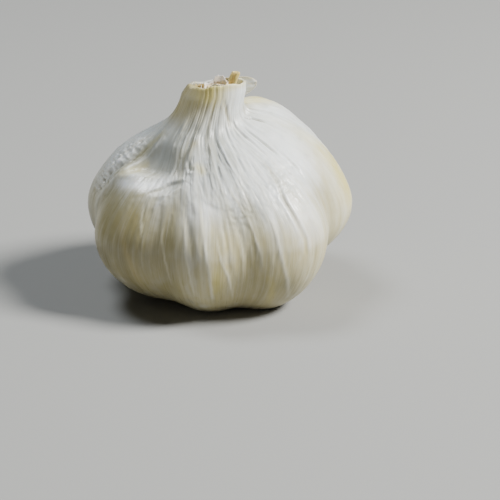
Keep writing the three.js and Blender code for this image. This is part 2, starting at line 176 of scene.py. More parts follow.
# The bulb's form. A turn is an angle round the upright axis: 0 faces the camera and positive goes right.
# A clove: turn, how far its back stands out, half its breadth, the heights of its belly, top and foot, and how
# far its top and its foot come in. A hollow: place, half widths across and along, and depth.
bulb = {
    "cloves": [
        (-104, 29.2, 12.2, 18.0, 36.3, 2.6, 8.2, 4.5),
        (-58, 29.0, 13.2, 15.6, 30.8, 0.2, 6.0, 4.8),
        (-9, 26.6, 12.5, 16.0, 34.0, -1.2, 10.0, 4.0),
        (42, 28.6, 13.0, 17.0, 36.0, -1.2, 11.0, 3.6),
        (97, 29.4, 12.0, 18.5, 38.5, 5.0, 9.5, 4.5),
        (136, 29.0, 12.6, 20.5, 40.5, 0.5, 6.0, 4.5),
        (180, 27.0, 10.5, 16.5, 37.0, -0.8, 11.5, 4.0),
        (-145, 27.2, 12.0, 16.5, 35.5, -0.4, 10.0, 4.5),
    ],
    "cloveDepth": 12.5,
    "core": {"radius": 18, "height": 15, "middle": 20},
    "skin": {"tight": 0.8, "shoulder": 1.0, "shoulderHeight": 30, "shoulderSpan": 7},
    "hollows": [
        ((-13.5, -10, 31.5), 6.5, 3.8, 2.8), ((9, -17, 33), 6.0, 4.0, 0.5), ((-6, 16, 33), 6.0, 4.0, 1.2),
    ],
    "rimTuck": {"turn": -80, "span": 50, "depth": 1.8, "low": 43.6, "high": 47.4},
    "pocket": {"radius": 8.0, "ceiling": 6.0},
    "middle": 20,
    "shiftY": -0.3411,  # how far the part's origin lies behind the formula's
}
neck = {
    "radius": 6.7, "oval": 0.86, "axisX": -0.8, "axisTop": 44.6, "leanX": 0.28, "leanSpan": 8, "leanY": 0.1,
    "rayX": -2.2, "flare": 9.0, "flareTop": 42.5, "flareHeight": 14.5, "buried": 14,
    "cutHeight": 46.1, "cutX": 0.08, "cutY": -0.13, "ragged": [(0.18, 3, 0.4), (0.12, 8, 1.9)], "torn": 0.16,
    "wall": 0.5, "foldedWall": 1.4, "foldedTurn": -72, "floor": 41.5,
}
pleats = {
    "count": 26, "depth": 0.055, "low": 31, "high": 41, "sharp": 0.3,
    "wander": [(1.7, 3, 0.6), (0.9, 7, 2.1), (0.55, 13, 4.0)], "swell": [(0.4, 5, 1.0)],
    "calm": {"share": 0.6, "turn": -80, "span": 0.9}, "edge": {"share": 0.5, "low": 41.5, "high": 45},
    "ribs": 83, "ribDepth": 0.03,
}

# The grid of the skin. Its columns crowd to the front, and its rows to the heights in crowdedRows, each a
# strength, a height and a half height.
grid = {"columns": 570, "rows": 166, "crowd": 0.36, "crowdedRows": [(1.6, 28.5, 4.5), (0.7, 38.5, 3)]}


def neckAxis(z):
    below = np.clip(neck["axisTop"] - z, 0, neck["leanSpan"])
    home = smooth(z, bulb["core"]["middle"], neck["axisTop"] - neck["leanSpan"])
    return (neck["axisX"] - neck["leanX"] * below) * home, neck["leanY"] * (z - 40) * home


def cloveDistance(clove, x, y, z):
    turn, reach, half, belly, top, foot, lean, tuck = clove
    sin, cos = math.sin(math.radians(turn)), math.cos(math.radians(turn))
    out, side = x * sin - y * cos, np.abs(x * cos + y * sin)
    above = z > belly
    s = np.clip(np.where(above, (z - belly) / (top - belly), (belly - z) / (belly - foot)), 0, 3)
    depth = bulb["cloveDepth"]
    centre = reach - depth - np.where(above, lean * s ** 1.6, tuck * s ** 1.8)
    ends = np.where(above, s ** 2, s ** 2.3)
    return 10 * (np.sqrt(((out - centre) / depth) ** 2 + (side / half) ** 1.8 + ends) - 1)


def neckDistance(x, y, z):
    cx, cy = neckAxis(z)
    w = np.clip((neck["flareTop"] - z) / neck["flareHeight"], 0, 1)
    radius = neck["radius"] + neck["flare"] * w ** 1.7 * (1 - 0.2 * w)
    return np.maximum(0.8 * (np.hypot(x - cx, (y - cy) / neck["oval"]) - radius), neck["buried"] - z)


def coreDistance(x, y, z):
    core = bulb["core"]
    level = ((z - core["middle"]) / core["height"]) ** 2
    return 14 * (np.sqrt((x * x + y * y) / core["radius"] ** 2 + level) - 1)


def tuckedIn(turn):
    tuck = bulb["rimTuck"]
    return tuck["depth"] * bump(between(turn, math.radians(tuck["turn"])) / math.radians(tuck["span"]))


# Pleats with round backs and narrow grooves, and the hollows behind the cloves' tops.
def drape(x, y, z):
    cx, cy = neckAxis(z)
    turn = np.arctan2(x - cx, cy - y)
    wave = pleats["count"] * turn + waves(pleats["wander"], turn)
    strength = (1 + waves(pleats["swell"], turn)) * smooth(z, pleats["low"], pleats["high"])
    calm, edge = pleats["calm"], pleats["edge"]
    strength = strength * (1 - calm["share"] * bump(between(turn, math.radians(calm["turn"])) / calm["span"]))
    strength = strength * (1 - edge["share"] * smooth(z, edge["low"], edge["high"]))
    out = pleats["depth"] * strength * (np.cos(wave) - pleats["sharp"] * np.cos(2 * wave))
    for (hx, hy, hz), acrossHalf, alongHalf, depth in bulb["hollows"]:
        h = math.hypot(hx, hy)
        along = ((x - hx) * hx + (y - hy) * hy) / h
        across = ((y - hy) * hx - (x - hx) * hy) / h
        out = out - depth * bump(across / acrossHalf) * bump(np.hypot(along, z - hz) / alongHalf)
    tuck = bulb["rimTuck"]
    return out - smooth(z, tuck["low"], tuck["high"]) * tuckedIn(turn)


def outside(x, y, z):
    skin = bulb["skin"]
    blend = skin["tight"] + skin["shoulder"] * bump((z - skin["shoulderHeight"]) / skin["shoulderSpan"])
    near = [cloveDistance(clove, x, y, z) for clove in bulb["cloves"]]
    near += [neckDistance(x, y, z), coreDistance(x, y, z)]
    least = np.minimum.reduce(near)
    total = sum(np.exp((least - d) / blend) for d in near)
    return np.maximum(least - blend * np.log(total) - drape(x, y, z), -z)


# The skin seen from the middle of the bulb, at an angle round it and an angle above the level.
def skinPoint(turn, rise):
    way = (np.cos(rise) * np.sin(turn), -np.cos(rise) * np.cos(turn), np.sin(rise))
    shift = neck["rayX"] * smooth(rise, math.radians(10), math.radians(60))
    inner = np.full(np.shape(rise), 3.0)
    outer = np.full(np.shape(rise), 60.0)
    for _ in range(17):
        reach = (inner + outer) / 2
        within = outside(shift + way[0] * reach, way[1] * reach, bulb["middle"] + way[2] * reach) < 0
        inner = np.where(within, reach, inner)
        outer = np.where(within, outer, reach)
    z = bulb["middle"] + way[2] * inner
    return shift + way[0] * inner, way[1] * inner, np.where(np.abs(z) < 2e-3, 0, z)


def cutHeight(x, y):
    turn = np.arctan2(x - neck["axisX"], -y)
    torn = neck["torn"] * layered(5 * np.sin(turn), 5 * np.cos(turn), 0, 4)
    torn = torn * (1 - bump(between(turn, math.radians(neck["foldedTurn"])) / 0.6))
    return neck["cutHeight"] + neck["cutX"] * x + neck["cutY"] * y + waves(neck["ragged"], turn) + torn


# Lines of the skin from the pocket up to the cut, closer together where the skin is finely folded.
def skinGrid():
    even = np.arange(grid["columns"]) * 2 * math.pi / grid["columns"]
    turns = even - grid["crowd"] * np.sin(even)
    low = np.full(turns.shape, math.radians(55))
    high = np.full(turns.shape, math.radians(88))
    for _ in range(16):
        rise = (low + high) / 2
        x, y, z = skinPoint(turns, rise)
        below = z < cutHeight(x, y)
        low = np.where(below, rise, low)
        high = np.where(below, high, rise)
    pocket = bulb["pocket"]
    first = -math.atan2(bulb["middle"] - pocket["ceiling"] / 2, pocket["radius"])
    samples = np.linspace(0, 1, 121)[:, None]
    coarse = slice(0, None, 4)
    rises = first + (low[coarse][None, :] - first) * samples
    x, y, z = skinPoint(np.broadcast_to(turns[coarse], rises.shape), rises)
    step = np.sqrt(np.diff(x, axis=0) ** 2 + np.diff(y, axis=0) ** 2 + np.diff(z, axis=0) ** 2)
    crowded = sum(strength * bump((z[1:] - height) / half) for strength, height, half in grid["crowdedRows"])
    step *= 0.7 + 0.3 * smooth(z[1:], 1, 6) + crowded
    along = np.vstack([np.zeros(step.shape[1]), np.cumsum(step, axis=0)])
    share = np.linspace(0, 1, grid["rows"] + 1)
    picked = np.array([np.interp(share, line / line[-1], samples[:, 0]) for line in along.T])
    around = np.append(turns[coarse], 2 * math.pi)
    picked = np.vstack([picked, picked[:1]])
    picked = np.array([np.interp(turns, around, picked[:, j]) for j in range(share.size)])
    rises = first + (low[None, :] - first) * picked
    return turns, np.stack(skinPoint(np.broadcast_to(turns, rises.shape), rises), axis=-1)


def gridNormals(points):
    across = np.roll(points, -1, axis=1) - np.roll(points, 1, axis=1)
    up = np.gradient(points, axis=0)
    normal = np.cross(across, up)
    return normal / (np.linalg.norm(normal, axis=-1)[..., None] + 1e-12)


# Folds of the skin by kind, each as depth, softness and a path of (turn, height) points. A lip is a step that
# stands out on the upper side of a path that runs to the right.
folds = {
    "lip": [
        (0.42, 0.6, [(-45, 26.9), (-39, 27.8), (-35, 28.6), (-28, 29.4), (-23, 29.9)]),
        (0.1, 0.6, [(-12, 27.6), (-4, 26.3), (5, 25.4), (12, 25.8)]),
        (0.4, 0.5, [(-150, 33), (-143, 29.5), (-135, 28.5), (-128, 30)]),
        (0.35, 0.5, [(128, 30.5), (135, 29), (143, 31), (150, 34)]),
    ],
    "ridge": [
        (0.5, 1, [(-78, 26.4), (-68, 28), (-58, 28.3), (-48, 28.4), (-40, 29), (-32, 30.2)]),
        (0.22, 0.35, [(-37, 24), (-33, 26.2), (-29, 27.7), (-24, 28.9)]),
        (0.16, 0.35, [(-38, 26.4), (-35, 26.8), (-32, 27.6)]),
        (0.4, 0.7, [(-85, 19), (-80, 23), (-75, 27.4), (-72, 30.2), (-69, 33.4), (-67, 36)]),
        (0.3, 1.2, [(-24, 30.4), (-18, 27.4), (-11, 25), (-7, 20), (-4, 14), (-3, 6)]),
        (0.08, 0.4, [(22, 27), (26, 22.5), (28, 16.5), (32, 10.5), (37, 4)]),
        (0.12, 0.4, [(10, 31.5), (13, 28), (16, 23), (19, 17.5), (21, 12)]),
        (0.1, 0.4, [(5, 25), (8, 21), (11, 15.5), (12, 9)]),
        (0.22, 0.4, [(-32, 38), (-28, 34.5), (-26, 31.5)]),
        (0.2, 0.35, [(-44, 37.5), (-40, 35), (-36, 33)]),
        (0.1, 0.5, [(-55, 24), (-54, 17), (-52, 9)]),
        (0.08, 0.35, [(-61, 25), (-60, 19), (-57, 12)]),
        (0.1, 0.4, [(-29, 26), (-29, 18), (-31, 9)]),
        (0.32, 0.7, [(118, 36), (120, 28), (119, 18), (122, 10)]),
        (0.35, 0.7, [(-165, 34), (-164, 25), (-163, 15), (-165, 6)]),
        (0.28, 0.4, [(172, 36), (178, 31), (180, 24), (179, 15)]),
    ],
    "groove": [
        (0.15, 0.35, [(-26, 32.8), (-22, 31.6), (-18, 31.8)]),
        (0.25, 0.7, [(-90, 22), (-84, 26), (-79, 29.5), (-76, 32.5), (-73, 35.5)]),
        (0.15, 0.6, [(-17, 24), (-13, 20), (-10, 14), (-9, 7)]),
        (0.18, 0.4, [(38, 32), (36, 27.5), (37, 24), (39, 20), (40, 15.5)]),
        (0.1, 0.4, [(1, 24), (4, 19), (5, 12)]),
        (0.26, 0.28, [(62, 39.4), (70, 39.1), (77, 38.7), (82, 37.9)]),
        (0.14, 0.4, [(15, 44), (19, 41.8), (23, 39.8), (28, 37.5)]),
        (0.22, 0.3, [(30, 39.5), (38, 36.5), (43, 33.5)]),
        (0.22, 0.3, [(47, 38.5), (50, 35.5), (52, 32.5)]),
        (0.2, 0.3, [(56, 35), (58, 31.5), (58, 28.5)]),
        (0.14, 0.45, [(-8, 38.5), (-2, 35), (0, 32), (2, 29)]),
        (0.18, 0.3, [(14, 37.5), (17, 34.5), (19, 31.5)]),
        (0.08, 0.4, [(-38, 22), (-39, 15), (-40, 8)]),
        (0.1, 0.4, [(62, 27), (60, 20), (61, 13)]),
        (0.35, 0.6, [(165, 38), (161, 31), (160, 22), (161, 12)]),
        (0.35, 0.6, [(-122, 38), (-123, 30), (-124, 20), (-123, 10)]),
        (0.28, 0.35, [(-174, 35), (-171, 30), (-172, 24)]),
    ],
}

# Fine relief all round. A family of fine folds: how many, and the least and most of their depth, half width,
# length, the height they start from and their turn.
fine = {
    "seed": 21,
    "families": [
        (230, (0.02, 0.08), (0.16, 0.40), (4, 15), (32, 44), (-180, 180)),
        (44, (0.05, 0.20), (0.30, 0.80), (6, 14), (35, 42), (-42, 24)),
        (120, (0.01, 0.04), (0.25, 0.60), (8, 28), (12, 33), (-180, 180)),
        (130, (0.01, 0.05), (0.14, 0.30), (3, 9), (46, 49), (-180, 180)),
    ],
    "vein": 0.03, "paleVein": 0.07, "slack": 0.20, "crinkle": 0.36, "pucker": 0.13, "crumple": 0.06,
}

# Soft spots of the skin, each a strength, turn, half width in degrees, height and half height: where it lies
# smooth, and where it is puckered.
calmSpots = [
    (0.9, -53, 18.9, 33, 5), (0.6, 72, 28.6, 33, 8), (0.95, -34, 14.9, 28.8, 2.8), (0.95, 72, 14.3, 38.9, 1.2),
    (0.6, -62, 21.8, 16, 9),
]
puckerSpots = [(1, 42, 12, 29, 4), (0.7, 12, 9, 24, 4), (0.8, -50, 5, 35.6, 1.8)]
crinkledStrip = {"turn": -87, "half": 7.5, "low": (20, 24), "high": (33, 36)}

# Long thin veins that run from the neck to the foot, all round.
veins = {"seed": 23, "count": 130, "width": (0.14, 0.40), "strength": (0.1, 0.9), "rise": 0.03, "sway": 0.035}

# The veins that stand out: strength, half width in millimetres and a path of (turn, height) points.
paleVeins = [
    (0.8, 0.32, [(-21, 28.5), (-17, 21.7), (-14, 14.8), (-12, 6.2)]),
    (0.9, 0.3, [(-10, 26.9), (-7, 20.6), (-5, 14.8), (-3, 5.7)]),
    (0.7, 0.25, [(-1, 21.1), (1, 16), (5, 11), (8, 5)]),
    (0.7, 0.25, [(9, 22.2), (11, 18.4), (12, 14.9)]),
    (0.7, 0.25, [(6, 29.3), (11, 26.6), (15, 23.5), (18, 18.9), (18, 15)]),
    (0.5, 0.28, [(-29, 21.4), (-26, 14.8), (-24, 8.6)]),
    (0.6, 0.25, [(-43, 25), (-40, 21.8), (-38, 19.1)]),
    (0.6, 0.35, [(24, 24.3), (27, 21.2), (28, 16.7), (31, 11.7), (38, 4.4)]),
    (0.5, 0.3, [(-84, 21), (-80, 24.5), (-76, 26.8)]),
    (0.6, 0.3, [(150, 34), (147, 24), (148, 12)]),
    (0.6, 0.3, [(-140, 32), (-136, 22), (-137, 10)]),
    (0.6, 0.3, [(-172, 30), (-176, 20), (-175, 9)]),
]


def curveThrough(path, steps=8):
    p = np.array(path, float)
    p = np.vstack([2 * p[0] - p[1], p, 2 * p[-1] - p[-2]])
    out = []
    for i in range(1, len(p) - 2):
        t = np.linspace(0, 1, steps, endpoint=False)[:, None]
        a, b, c, d = p[i - 1:i + 3]
        bend = (2 * a - 5 * b + 4 * c - d) * t ** 2 + (3 * b - a - 3 * c + d) * t ** 3
        out.append(0.5 * (2 * b + (c - a) * t + bend))
    return np.vstack(out + [p[-2:-1]])


# Where a path of (turn, height) points runs on the skin: the points near it, their distance from it, side of it
# and share along it. A skin is its points, their normals and turns, and which of them lie on the outside.
def nearPath(path, reach, points, normals, turn, outerSide):
    spots = points.reshape(-1, 3)
    line = []
    for t, h in curveThrough(path):
        miss = (between(turn, math.radians(t)) * 20) ** 2 + (points[..., 2] - h) ** 2
        line.append(spots[np.argmin(miss + np.where(outerSide, 0, 1e4))])
    line = np.array(line)
    near = np.all((points > line.min(0) - reach) & (points < line.max(0) + reach), axis=-1)
    p, n = points[near], normals[near]
    best = np.full(len(p), 1e9)
    side, share = np.zeros(len(p)), np.zeros(len(p))
    for i in range(len(line) - 1):
        a, step = line[i], line[i + 1] - line[i]
        length = np.dot(step, step)
        if length < 1e-6:
            continue
        t = np.clip((p - a) @ step / length, 0, 1)
        off = p - (a + t[:, None] * step)
        away = np.linalg.norm(off, axis=1)
        closer = away < best
        best = np.where(closer, away, best)
        side = np.where(closer, np.sign(np.einsum("ij,ij->i", np.cross(n, step), off)), side)
        share = np.where(closer, (i + t) / (len(line) - 1), share)
    return near, best, side, share


# A path as a soft line, 1 along its middle and thinning out at its ends.
def traced(path, width, skin):
    near, best, _, share = nearPath(path, 4 * width + 1, *skin)
    trace = np.zeros(near.shape)
    trace[near] = np.sqrt(np.clip(np.sin(math.pi * share), 0, 1)) * bump(best / width)
    return trace


def foldShape(kind, x, side):
    if kind == "ridge":
        return np.exp(-np.sqrt(x * x + 0.15)) * 1.45 - 0.25 * bump((x - 2.6) / 1.2)
    if kind == "groove":
        return 0.35 * bump((x - 1.9) / 1.0) - bump(x)
    return 0.75 * np.tanh(side * x * 1.8) * np.exp(-x / 3.2)


# Folds that run along the lines of the skin, wander a little and thin out at both ends.
def runningFolds(draw, family, spin, z, around):
    count, depth, width, length, top, turns = family
    total = np.zeros(z.shape)
    for _ in range(count):
        centre = math.radians(draw.uniform(*turns))
        start, span = draw.uniform(*top), draw.uniform(*length)
        wander, sway = draw.uniform(-0.12, 0.12), draw.uniform(0, 2 * math.pi)
        size = draw.uniform(*depth) * draw.choice([-1, 1])
        half = draw.uniform(*width)
        share = np.clip((start - z) / span, -0.2, 1.2)
        middle = centre + wander * share + 0.03 * np.sin(4 * share + sway)
        off = between(spin, middle) * around / half
        total += size * smooth(share, 0, 0.25) * (1 - smooth(share, 0.55, 1)) * bump(off)
    return total


# The long veins' strength over the skin, 0 to about 1.
def longVeins(spin, z, around):
    draw = np.random.RandomState(veins["seed"])
    total = np.zeros(z.shape)
    for _ in range(veins["count"]):
        centre, low, high = draw.uniform(-math.pi, math.pi), draw.uniform(-8, 14), draw.uniform(22, 50)
        sway, phase, pace = veins["sway"] * draw.uniform(-1, 1), draw.uniform(0, 6.3), draw.uniform(5, 12)
        width, strength = draw.uniform(*veins["width"]), draw.uniform(*veins["strength"])
        off = between(spin, centre + sway * np.sin(z / pace + phase)) * around / width
        ends = smooth(z, low, low + 5) * (1 - smooth(z, high - 8, high))
        total = np.maximum(total, strength * ends * bump(off))
    return total


def calmness(turn, z):
    return np.maximum.reduce([strength * spot(turn, z, *where) for strength, *where in calmSpots])


# A grid's places and turns, and its distances and turns round the neck's axis with their sines and cosines.
def measured(points):
    x, y, z = points[..., 0], points[..., 1], points[..., 2]
    cx, cy = neckAxis(z)
    spin = np.arctan2(x - cx, cy - y)
    return x, y, z, np.arctan2(x, -y), np.hypot(x - cx, y - cy), spin, np.sin(spin), np.cos(spin)


# Which points of the skin's grid lie beyond the lowest one of their line, so on the outside of the bulb.
def beyondFoot(z):
    lowest = len(z) - 1 - np.argmin(z[::-1], axis=0)
    return np.arange(len(z))[:, None] > lowest[None, :]


# All the relief of the skin that is finer than its form, as a height over its grid.
def fineRelief(points):
    x, y, z, turn, around, spin, sin, cos = measured(points)
    normals = gridNormals(points)
    outerSide = beyondFoot(z)
    skin = (points, normals, turn, outerSide)
    relief = np.zeros(z.shape)
    for kind in folds:
        for depth, width, path in folds[kind]:
            near, best, side, share = nearPath(path, 7 * width + 1, *skin)
            taper = np.sqrt(np.clip(np.sin(math.pi * share), 0, 1))
            relief[near] += depth * taper * foldShape(kind, best / width, side)
    for strength, width, path in paleVeins:
        relief += fine["paleVein"] * strength * traced(path, width, skin)
    climb = smooth(z, 1.0, 5.0) * np.where(outerSide, 1.0, 0.35)  # little relief at the feet and underneath
    loose = climb * (1 - calmness(turn, z))
    draw = np.random.RandomState(fine["seed"])
    for family in fine["families"]:
        relief += loose * runningFolds(draw, family, spin, z, around) * (1 - 0.6 * smooth(z, 38, 43))
    relief += veins["rise"] * longVeins(spin, z, around) * loose
    ribs = np.cos(pleats["ribs"] * spin + 3 * noise(3 * sin, 3 * cos, z / 9, 31))
    ribbed = smooth(z, 35, 41) * (1 - 0.8 * smooth(z, 41, 44.5))
    relief += pleats["ribDepth"] * ribs * ribbed * (1 + noise(6 * sin, 6 * cos, z / 5, 32))
    grain = noise(26 * sin, 26 * cos, z / 30, 33) + 0.6 * noise(52 * sin, 52 * cos, z / 24, 34)
    relief += fine["vein"] * grain * loose * smooth(around, 6, 14)
    relief += fine["slack"] * layered(x / 7, y / 7, z / 9, 35) * climb * (0.25 + 0.75 * bump((z - 31) / 8))
    crumple = noise(22 * sin, 22 * cos, z / 3, 39) + 0.5 * noise(x / 1.1, y / 1.1, z / 1.4, 40)
    crumpled = (0.2 + 0.8 * bump((z - 32) / 8)) * smooth(around, 7, 12)
    relief += fine["crumple"] * (1 - 2 * np.abs(crumple)) * loose * crumpled
    pucker = noise(x / 1.6, y / 1.6, z / 1.1, 36) + 0.4 * noise(x / 0.8, y / 0.8, z / 0.6, 41)
    puckered = sum(strength * spot(turn, z, *where) for strength, *where in puckerSpots)
    relief += fine["pucker"] * (1 - 2 * np.abs(pucker)) * puckered
    strip = crinkledStrip
    crinkled = bump((turn - math.radians(strip["turn"])) / math.radians(strip["half"]))
    crinkled = crinkled * smooth(z, *strip["low"]) * (1 - smooth(z, *strip["high"]))
    along = (z + 3 * turn) / 1.15
    creases = noise(x / 2.6, y / 1.8, along, 37) + 0.3 * noise(x / 0.8, y / 0.8, z / 0.6, 38)
    relief += fine["crinkle"] * (1 - 2.2 * np.abs(creases)) * crinkled
    return relief, normals


def blurred(values, rows, columns):
    total = values
    for axis, reach in ((0, rows), (1, columns)):
        if reach == 0:
            continue
        pad = [(0, 0)] * values.ndim
        pad[axis] = (reach + 1, reach)
        run = np.cumsum(np.pad(total, pad, mode="wrap" if axis == 1 else "edge"), axis=axis)
        size = total.shape[axis]
        ahead = np.take(run, np.arange(2 * reach + 1, 2 * reach + 1 + size), axis=axis)
        behind = np.take(run, np.arange(0, size), axis=axis)
        total = (ahead - behind) / (2 * reach + 1)
    return total


def meshFrom(name, points, faces, material, slot, *nodes):
    mesh = bpy.data.meshes.new(name)
    mesh.from_pydata((np.asarray(points) * mm).tolist(), [], faces)
    mesh.polygons.foreach_set("use_smooth", [True] * len(mesh.polygons))
    mesh.update()
    piece = bpy.data.objects.new(name, mesh)
    bpy.context.scene.collection.objects.link(piece)
    mesh.materials.append(material)
    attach(piece, "root")
    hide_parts(*nodes)
    return piece


# Faces between closed rings of points, all of one size.
def ringFaces(count, size, first=0):
    i = np.arange(size)
    j = (i + 1) % size
    faces = []
    for ring in range(count - 1):
        a, b = first + ring * size, first + (ring + 1) * size
        faces += np.stack([a + i, a + j, b + j, b + i], axis=1).tolist()
    return faces


# Faces of rings of points that one more point closes at each end, the first ring's before the last ring's.
def closedFaces(count, size):
    last, first = (count - 1) * size, count * size
    faces = ringFaces(count, size)
    faces += [(first, (i + 1) % size, i) for i in range(size)]
    return faces + [(last + i, last + (i + 1) % size, first + 1) for i in range(size)]


def addValues(mesh, name, values):
    layer = mesh.attributes.new(name, "FLOAT", "POINT")
    layer.data.foreach_set("value", np.asarray(values, np.float32).ravel())


def addVectors(mesh, name, values):
    layer = mesh.attributes.new(name, "FLOAT_VECTOR", "POINT")
    layer.data.foreach_set("vector", np.asarray(values, np.float32).ravel())


# Material nodes, each by a short call. A value is a number, a colour or the output that it comes from.
class Wiring:
    def __init__(self, name):
        self.material = bpy.data.materials.new(name)
        self.material.use_nodes = True
        self.tree = self.material.node_tree
        self.shader = self.tree.nodes["Principled BSDF"]

    def feed(self, socket, value):
        if isinstance(value, bpy.types.NodeSocket):
            self.tree.links.new(value, socket)
        elif socket.type == "RGBA":
            socket.default_value = (*value, 1)
        else:
            socket.default_value = value

    def node(self, kind, values, **settings):
        node = self.tree.nodes.new("ShaderNode" + kind)
        for name, setting in settings.items():
            setattr(node, name, setting)
        for key, value in values.items():
            self.feed(node.inputs[key], value)
        return node.outputs

    def attribute(self, name, output="Fac"):
        return self.node("Attribute", {}, attribute_name=name)[output]

    def position(self):
        return self.node("TexCoord", {})["Object"]

    def scaled(self, vector, factors):
        return self.node("VectorMath", {0: vector, 1: factors}, operation="MULTIPLY")[0]

    def noise(self, vector, scale, detail, roughness, distortion=0.0):
        values = {"Vector": vector, "Scale": scale, "Detail": detail, "Roughness": roughness}
        return self.node("TexNoise", {**values, "Distortion": distortion})["Fac"]

    def span(self, value, low, high, outLow=0.0, outHigh=1.0):
        values = {"Value": value, "From Min": low, "From Max": high, "To Min": outLow, "To Max": outHigh}
        return self.node("MapRange", values, interpolation_type="SMOOTHSTEP")["Result"]

    def times(self, first, second):
        return self.node("Math", {0: first, 1: second}, operation="MULTIPLY")[0]

    def mix(self, share, first, second):
        return self.node("Mix", {0: share, 6: first, 7: second}, data_type="RGBA")[2]

    def bump(self, height, strength, distance, normal=None):
        values = {"Strength": strength, "Distance": distance, "Height": height}
        return self.node("Bump", values if normal is None else {**values, "Normal": normal})["Normal"]

    def finish(self, colour, roughness, normal, **sockets):
        values = {"Base Color": colour, "Roughness": roughness, "Normal": normal}
        for name, value in {**values, **sockets}.items():
            self.feed(self.shader.inputs[name.replace("_", " ")], value)
        return self.material


# The paper skin: white where it hangs loose and dry, cream where it lies tight on a clove, grey where it is
# thin and hollow, with straw, yellow and olive parts. Bright also serves as painted highlight, grey and olive
# also as painted shade, and crease is painted shade in creases and inside the neck.
paperSkin = {
    "loose": (0.70, 0.73, 0.72),
    "cream": (0.54, 0.48, 0.25),
    "bright": (0.90, 0.92, 0.92),
    "vein": (0.76, 0.73, 0.55),
    "grey": (0.29, 0.31, 0.29),
    "straw": (0.42, 0.32, 0.10),
    "olive": (0.28, 0.245, 0.115),
    "crease": (0.17, 0.15, 0.08),
    "yellow": (0.64, 0.55, 0.16),
    "ochre": (0.50, 0.39, 0.13),
    "smoothest": 0.26,
    "roughest": 0.48,
}


def paperSkinMaterial():
    w = Wiring("paperSkin")
    strip = w.attribute("strip", "Vector")
    streaks = w.noise(w.scaled(strip, (4.3, 4.3, 0.05)), 1.0, 3, 0.6, 0.15)
    hair = w.noise(w.scaled(strip, (10.0, 10.0, 0.16)), 1.0, 3, 0.65, 0.2)
    mottle = w.noise(w.position(), 170.0, 4, 0.6)
    colour = w.attribute("paint", "Color")
    fibrous = w.attribute("fibrous")
    colour = w.mix(w.times(w.span(streaks, 0.50, 0.72, 0.0, 0.10), fibrous), colour, paperSkin["bright"])
    colour = w.mix(w.times(w.span(streaks, 0.30, 0.48, 0.16, 0.0), fibrous), colour, paperSkin["olive"])
    colour = w.mix(w.span(hair, 0.50, 0.75, 0.0, 0.10), colour, paperSkin["bright"])
    colour = w.mix(w.span(mottle, 0.35, 0.70, 0.0, 0.10), colour, paperSkin["straw"])
    rough = w.span(hair, 0.30, 0.70, paperSkin["smoothest"], paperSkin["roughest"])
    normal = w.bump(hair, 0.22, 0.00012)
    normal = w.bump(streaks, 0.18, 0.00020, normal)
    normal = w.bump(mottle, 0.15, 0.0002, normal)
    return w.finish(
        colour, w.times(rough, w.attribute("dull")), normal, Subsurface_Weight=0.08, Subsurface_Scale=0.5,
        Subsurface_Radius=(0.004, 0.003, 0.0018), Specular_IOR_Level=0.55, Sheen_Weight=0.03,
    )


# Broad parts of the skin, some with a colour of their own and some with painted light: colour, strength, turn
# and half width in degrees, height and half height in millimetres.
skinPatches = [
    # painted shade: the first two grey patches lie in the neck's shadow over the hollow, the next two under the
    # neck
    ("grey", 0.85, -54, 22, 34, 5.5),
    ("grey", 0.95, -75, 8, 32.5, 5.5),
    ("grey", 0.65, -16, 20, 35.5, 4.5),
    ("grey", 0.6, 0, 14, 34, 4.5),
    ("grey", 0.4, 16, 9, 24, 4),
    # painted shade: these olive and grey patches, down to the cream one, darken the left clove and the lower
    # part
    ("olive", 0.8, -93, 14, 17, 9),
    ("grey", 0.55, -52, 18, 23.5, 2.6),
    ("olive", 0.9, -60, 20, 22, 4),
    ("olive", 1.2, -50, 28, 18.5, 8.5),
    ("olive", 0.6, -40, 26, 11, 7),
    ("olive", 0.65, -24, 10, 18, 10),
    ("olive", 0.35, -66, 30, 6, 6),
    ("olive", 0.65, 27, 20, 6, 6),
    ("olive", 0.5, -12, 3, 15, 8),
    ("olive", 0.3, 8, 12, 14, 6),
    ("cream", 0.5, 12, 16, 17, 7),
    ("yellow", 0.6, -1, 3, 10, 4),
    ("yellow", 0.95, 92, 13, 25, 10),
    ("olive", 0.6, -31, 8, 34, 4.5),
    ("yellow", 0.85, 138, 22, 40.8, 2.2),
    # painted highlights: the three bright patches
    ("bright", 0.6, -8, 9, 25.2, 2.4),
    ("bright", 0.55, 46, 8, 22.5, 4.5),
    ("bright", 0.35, 66, 12, 33, 6),
    ("cream", 0.6, 76, 7, 23, 9),
    ("olive", 0.5, 165, 12, 12, 7),
    ("olive", 0.5, -130, 14, 11, 7),
    ("yellow", 0.4, -160, 8, 16, 8),
]
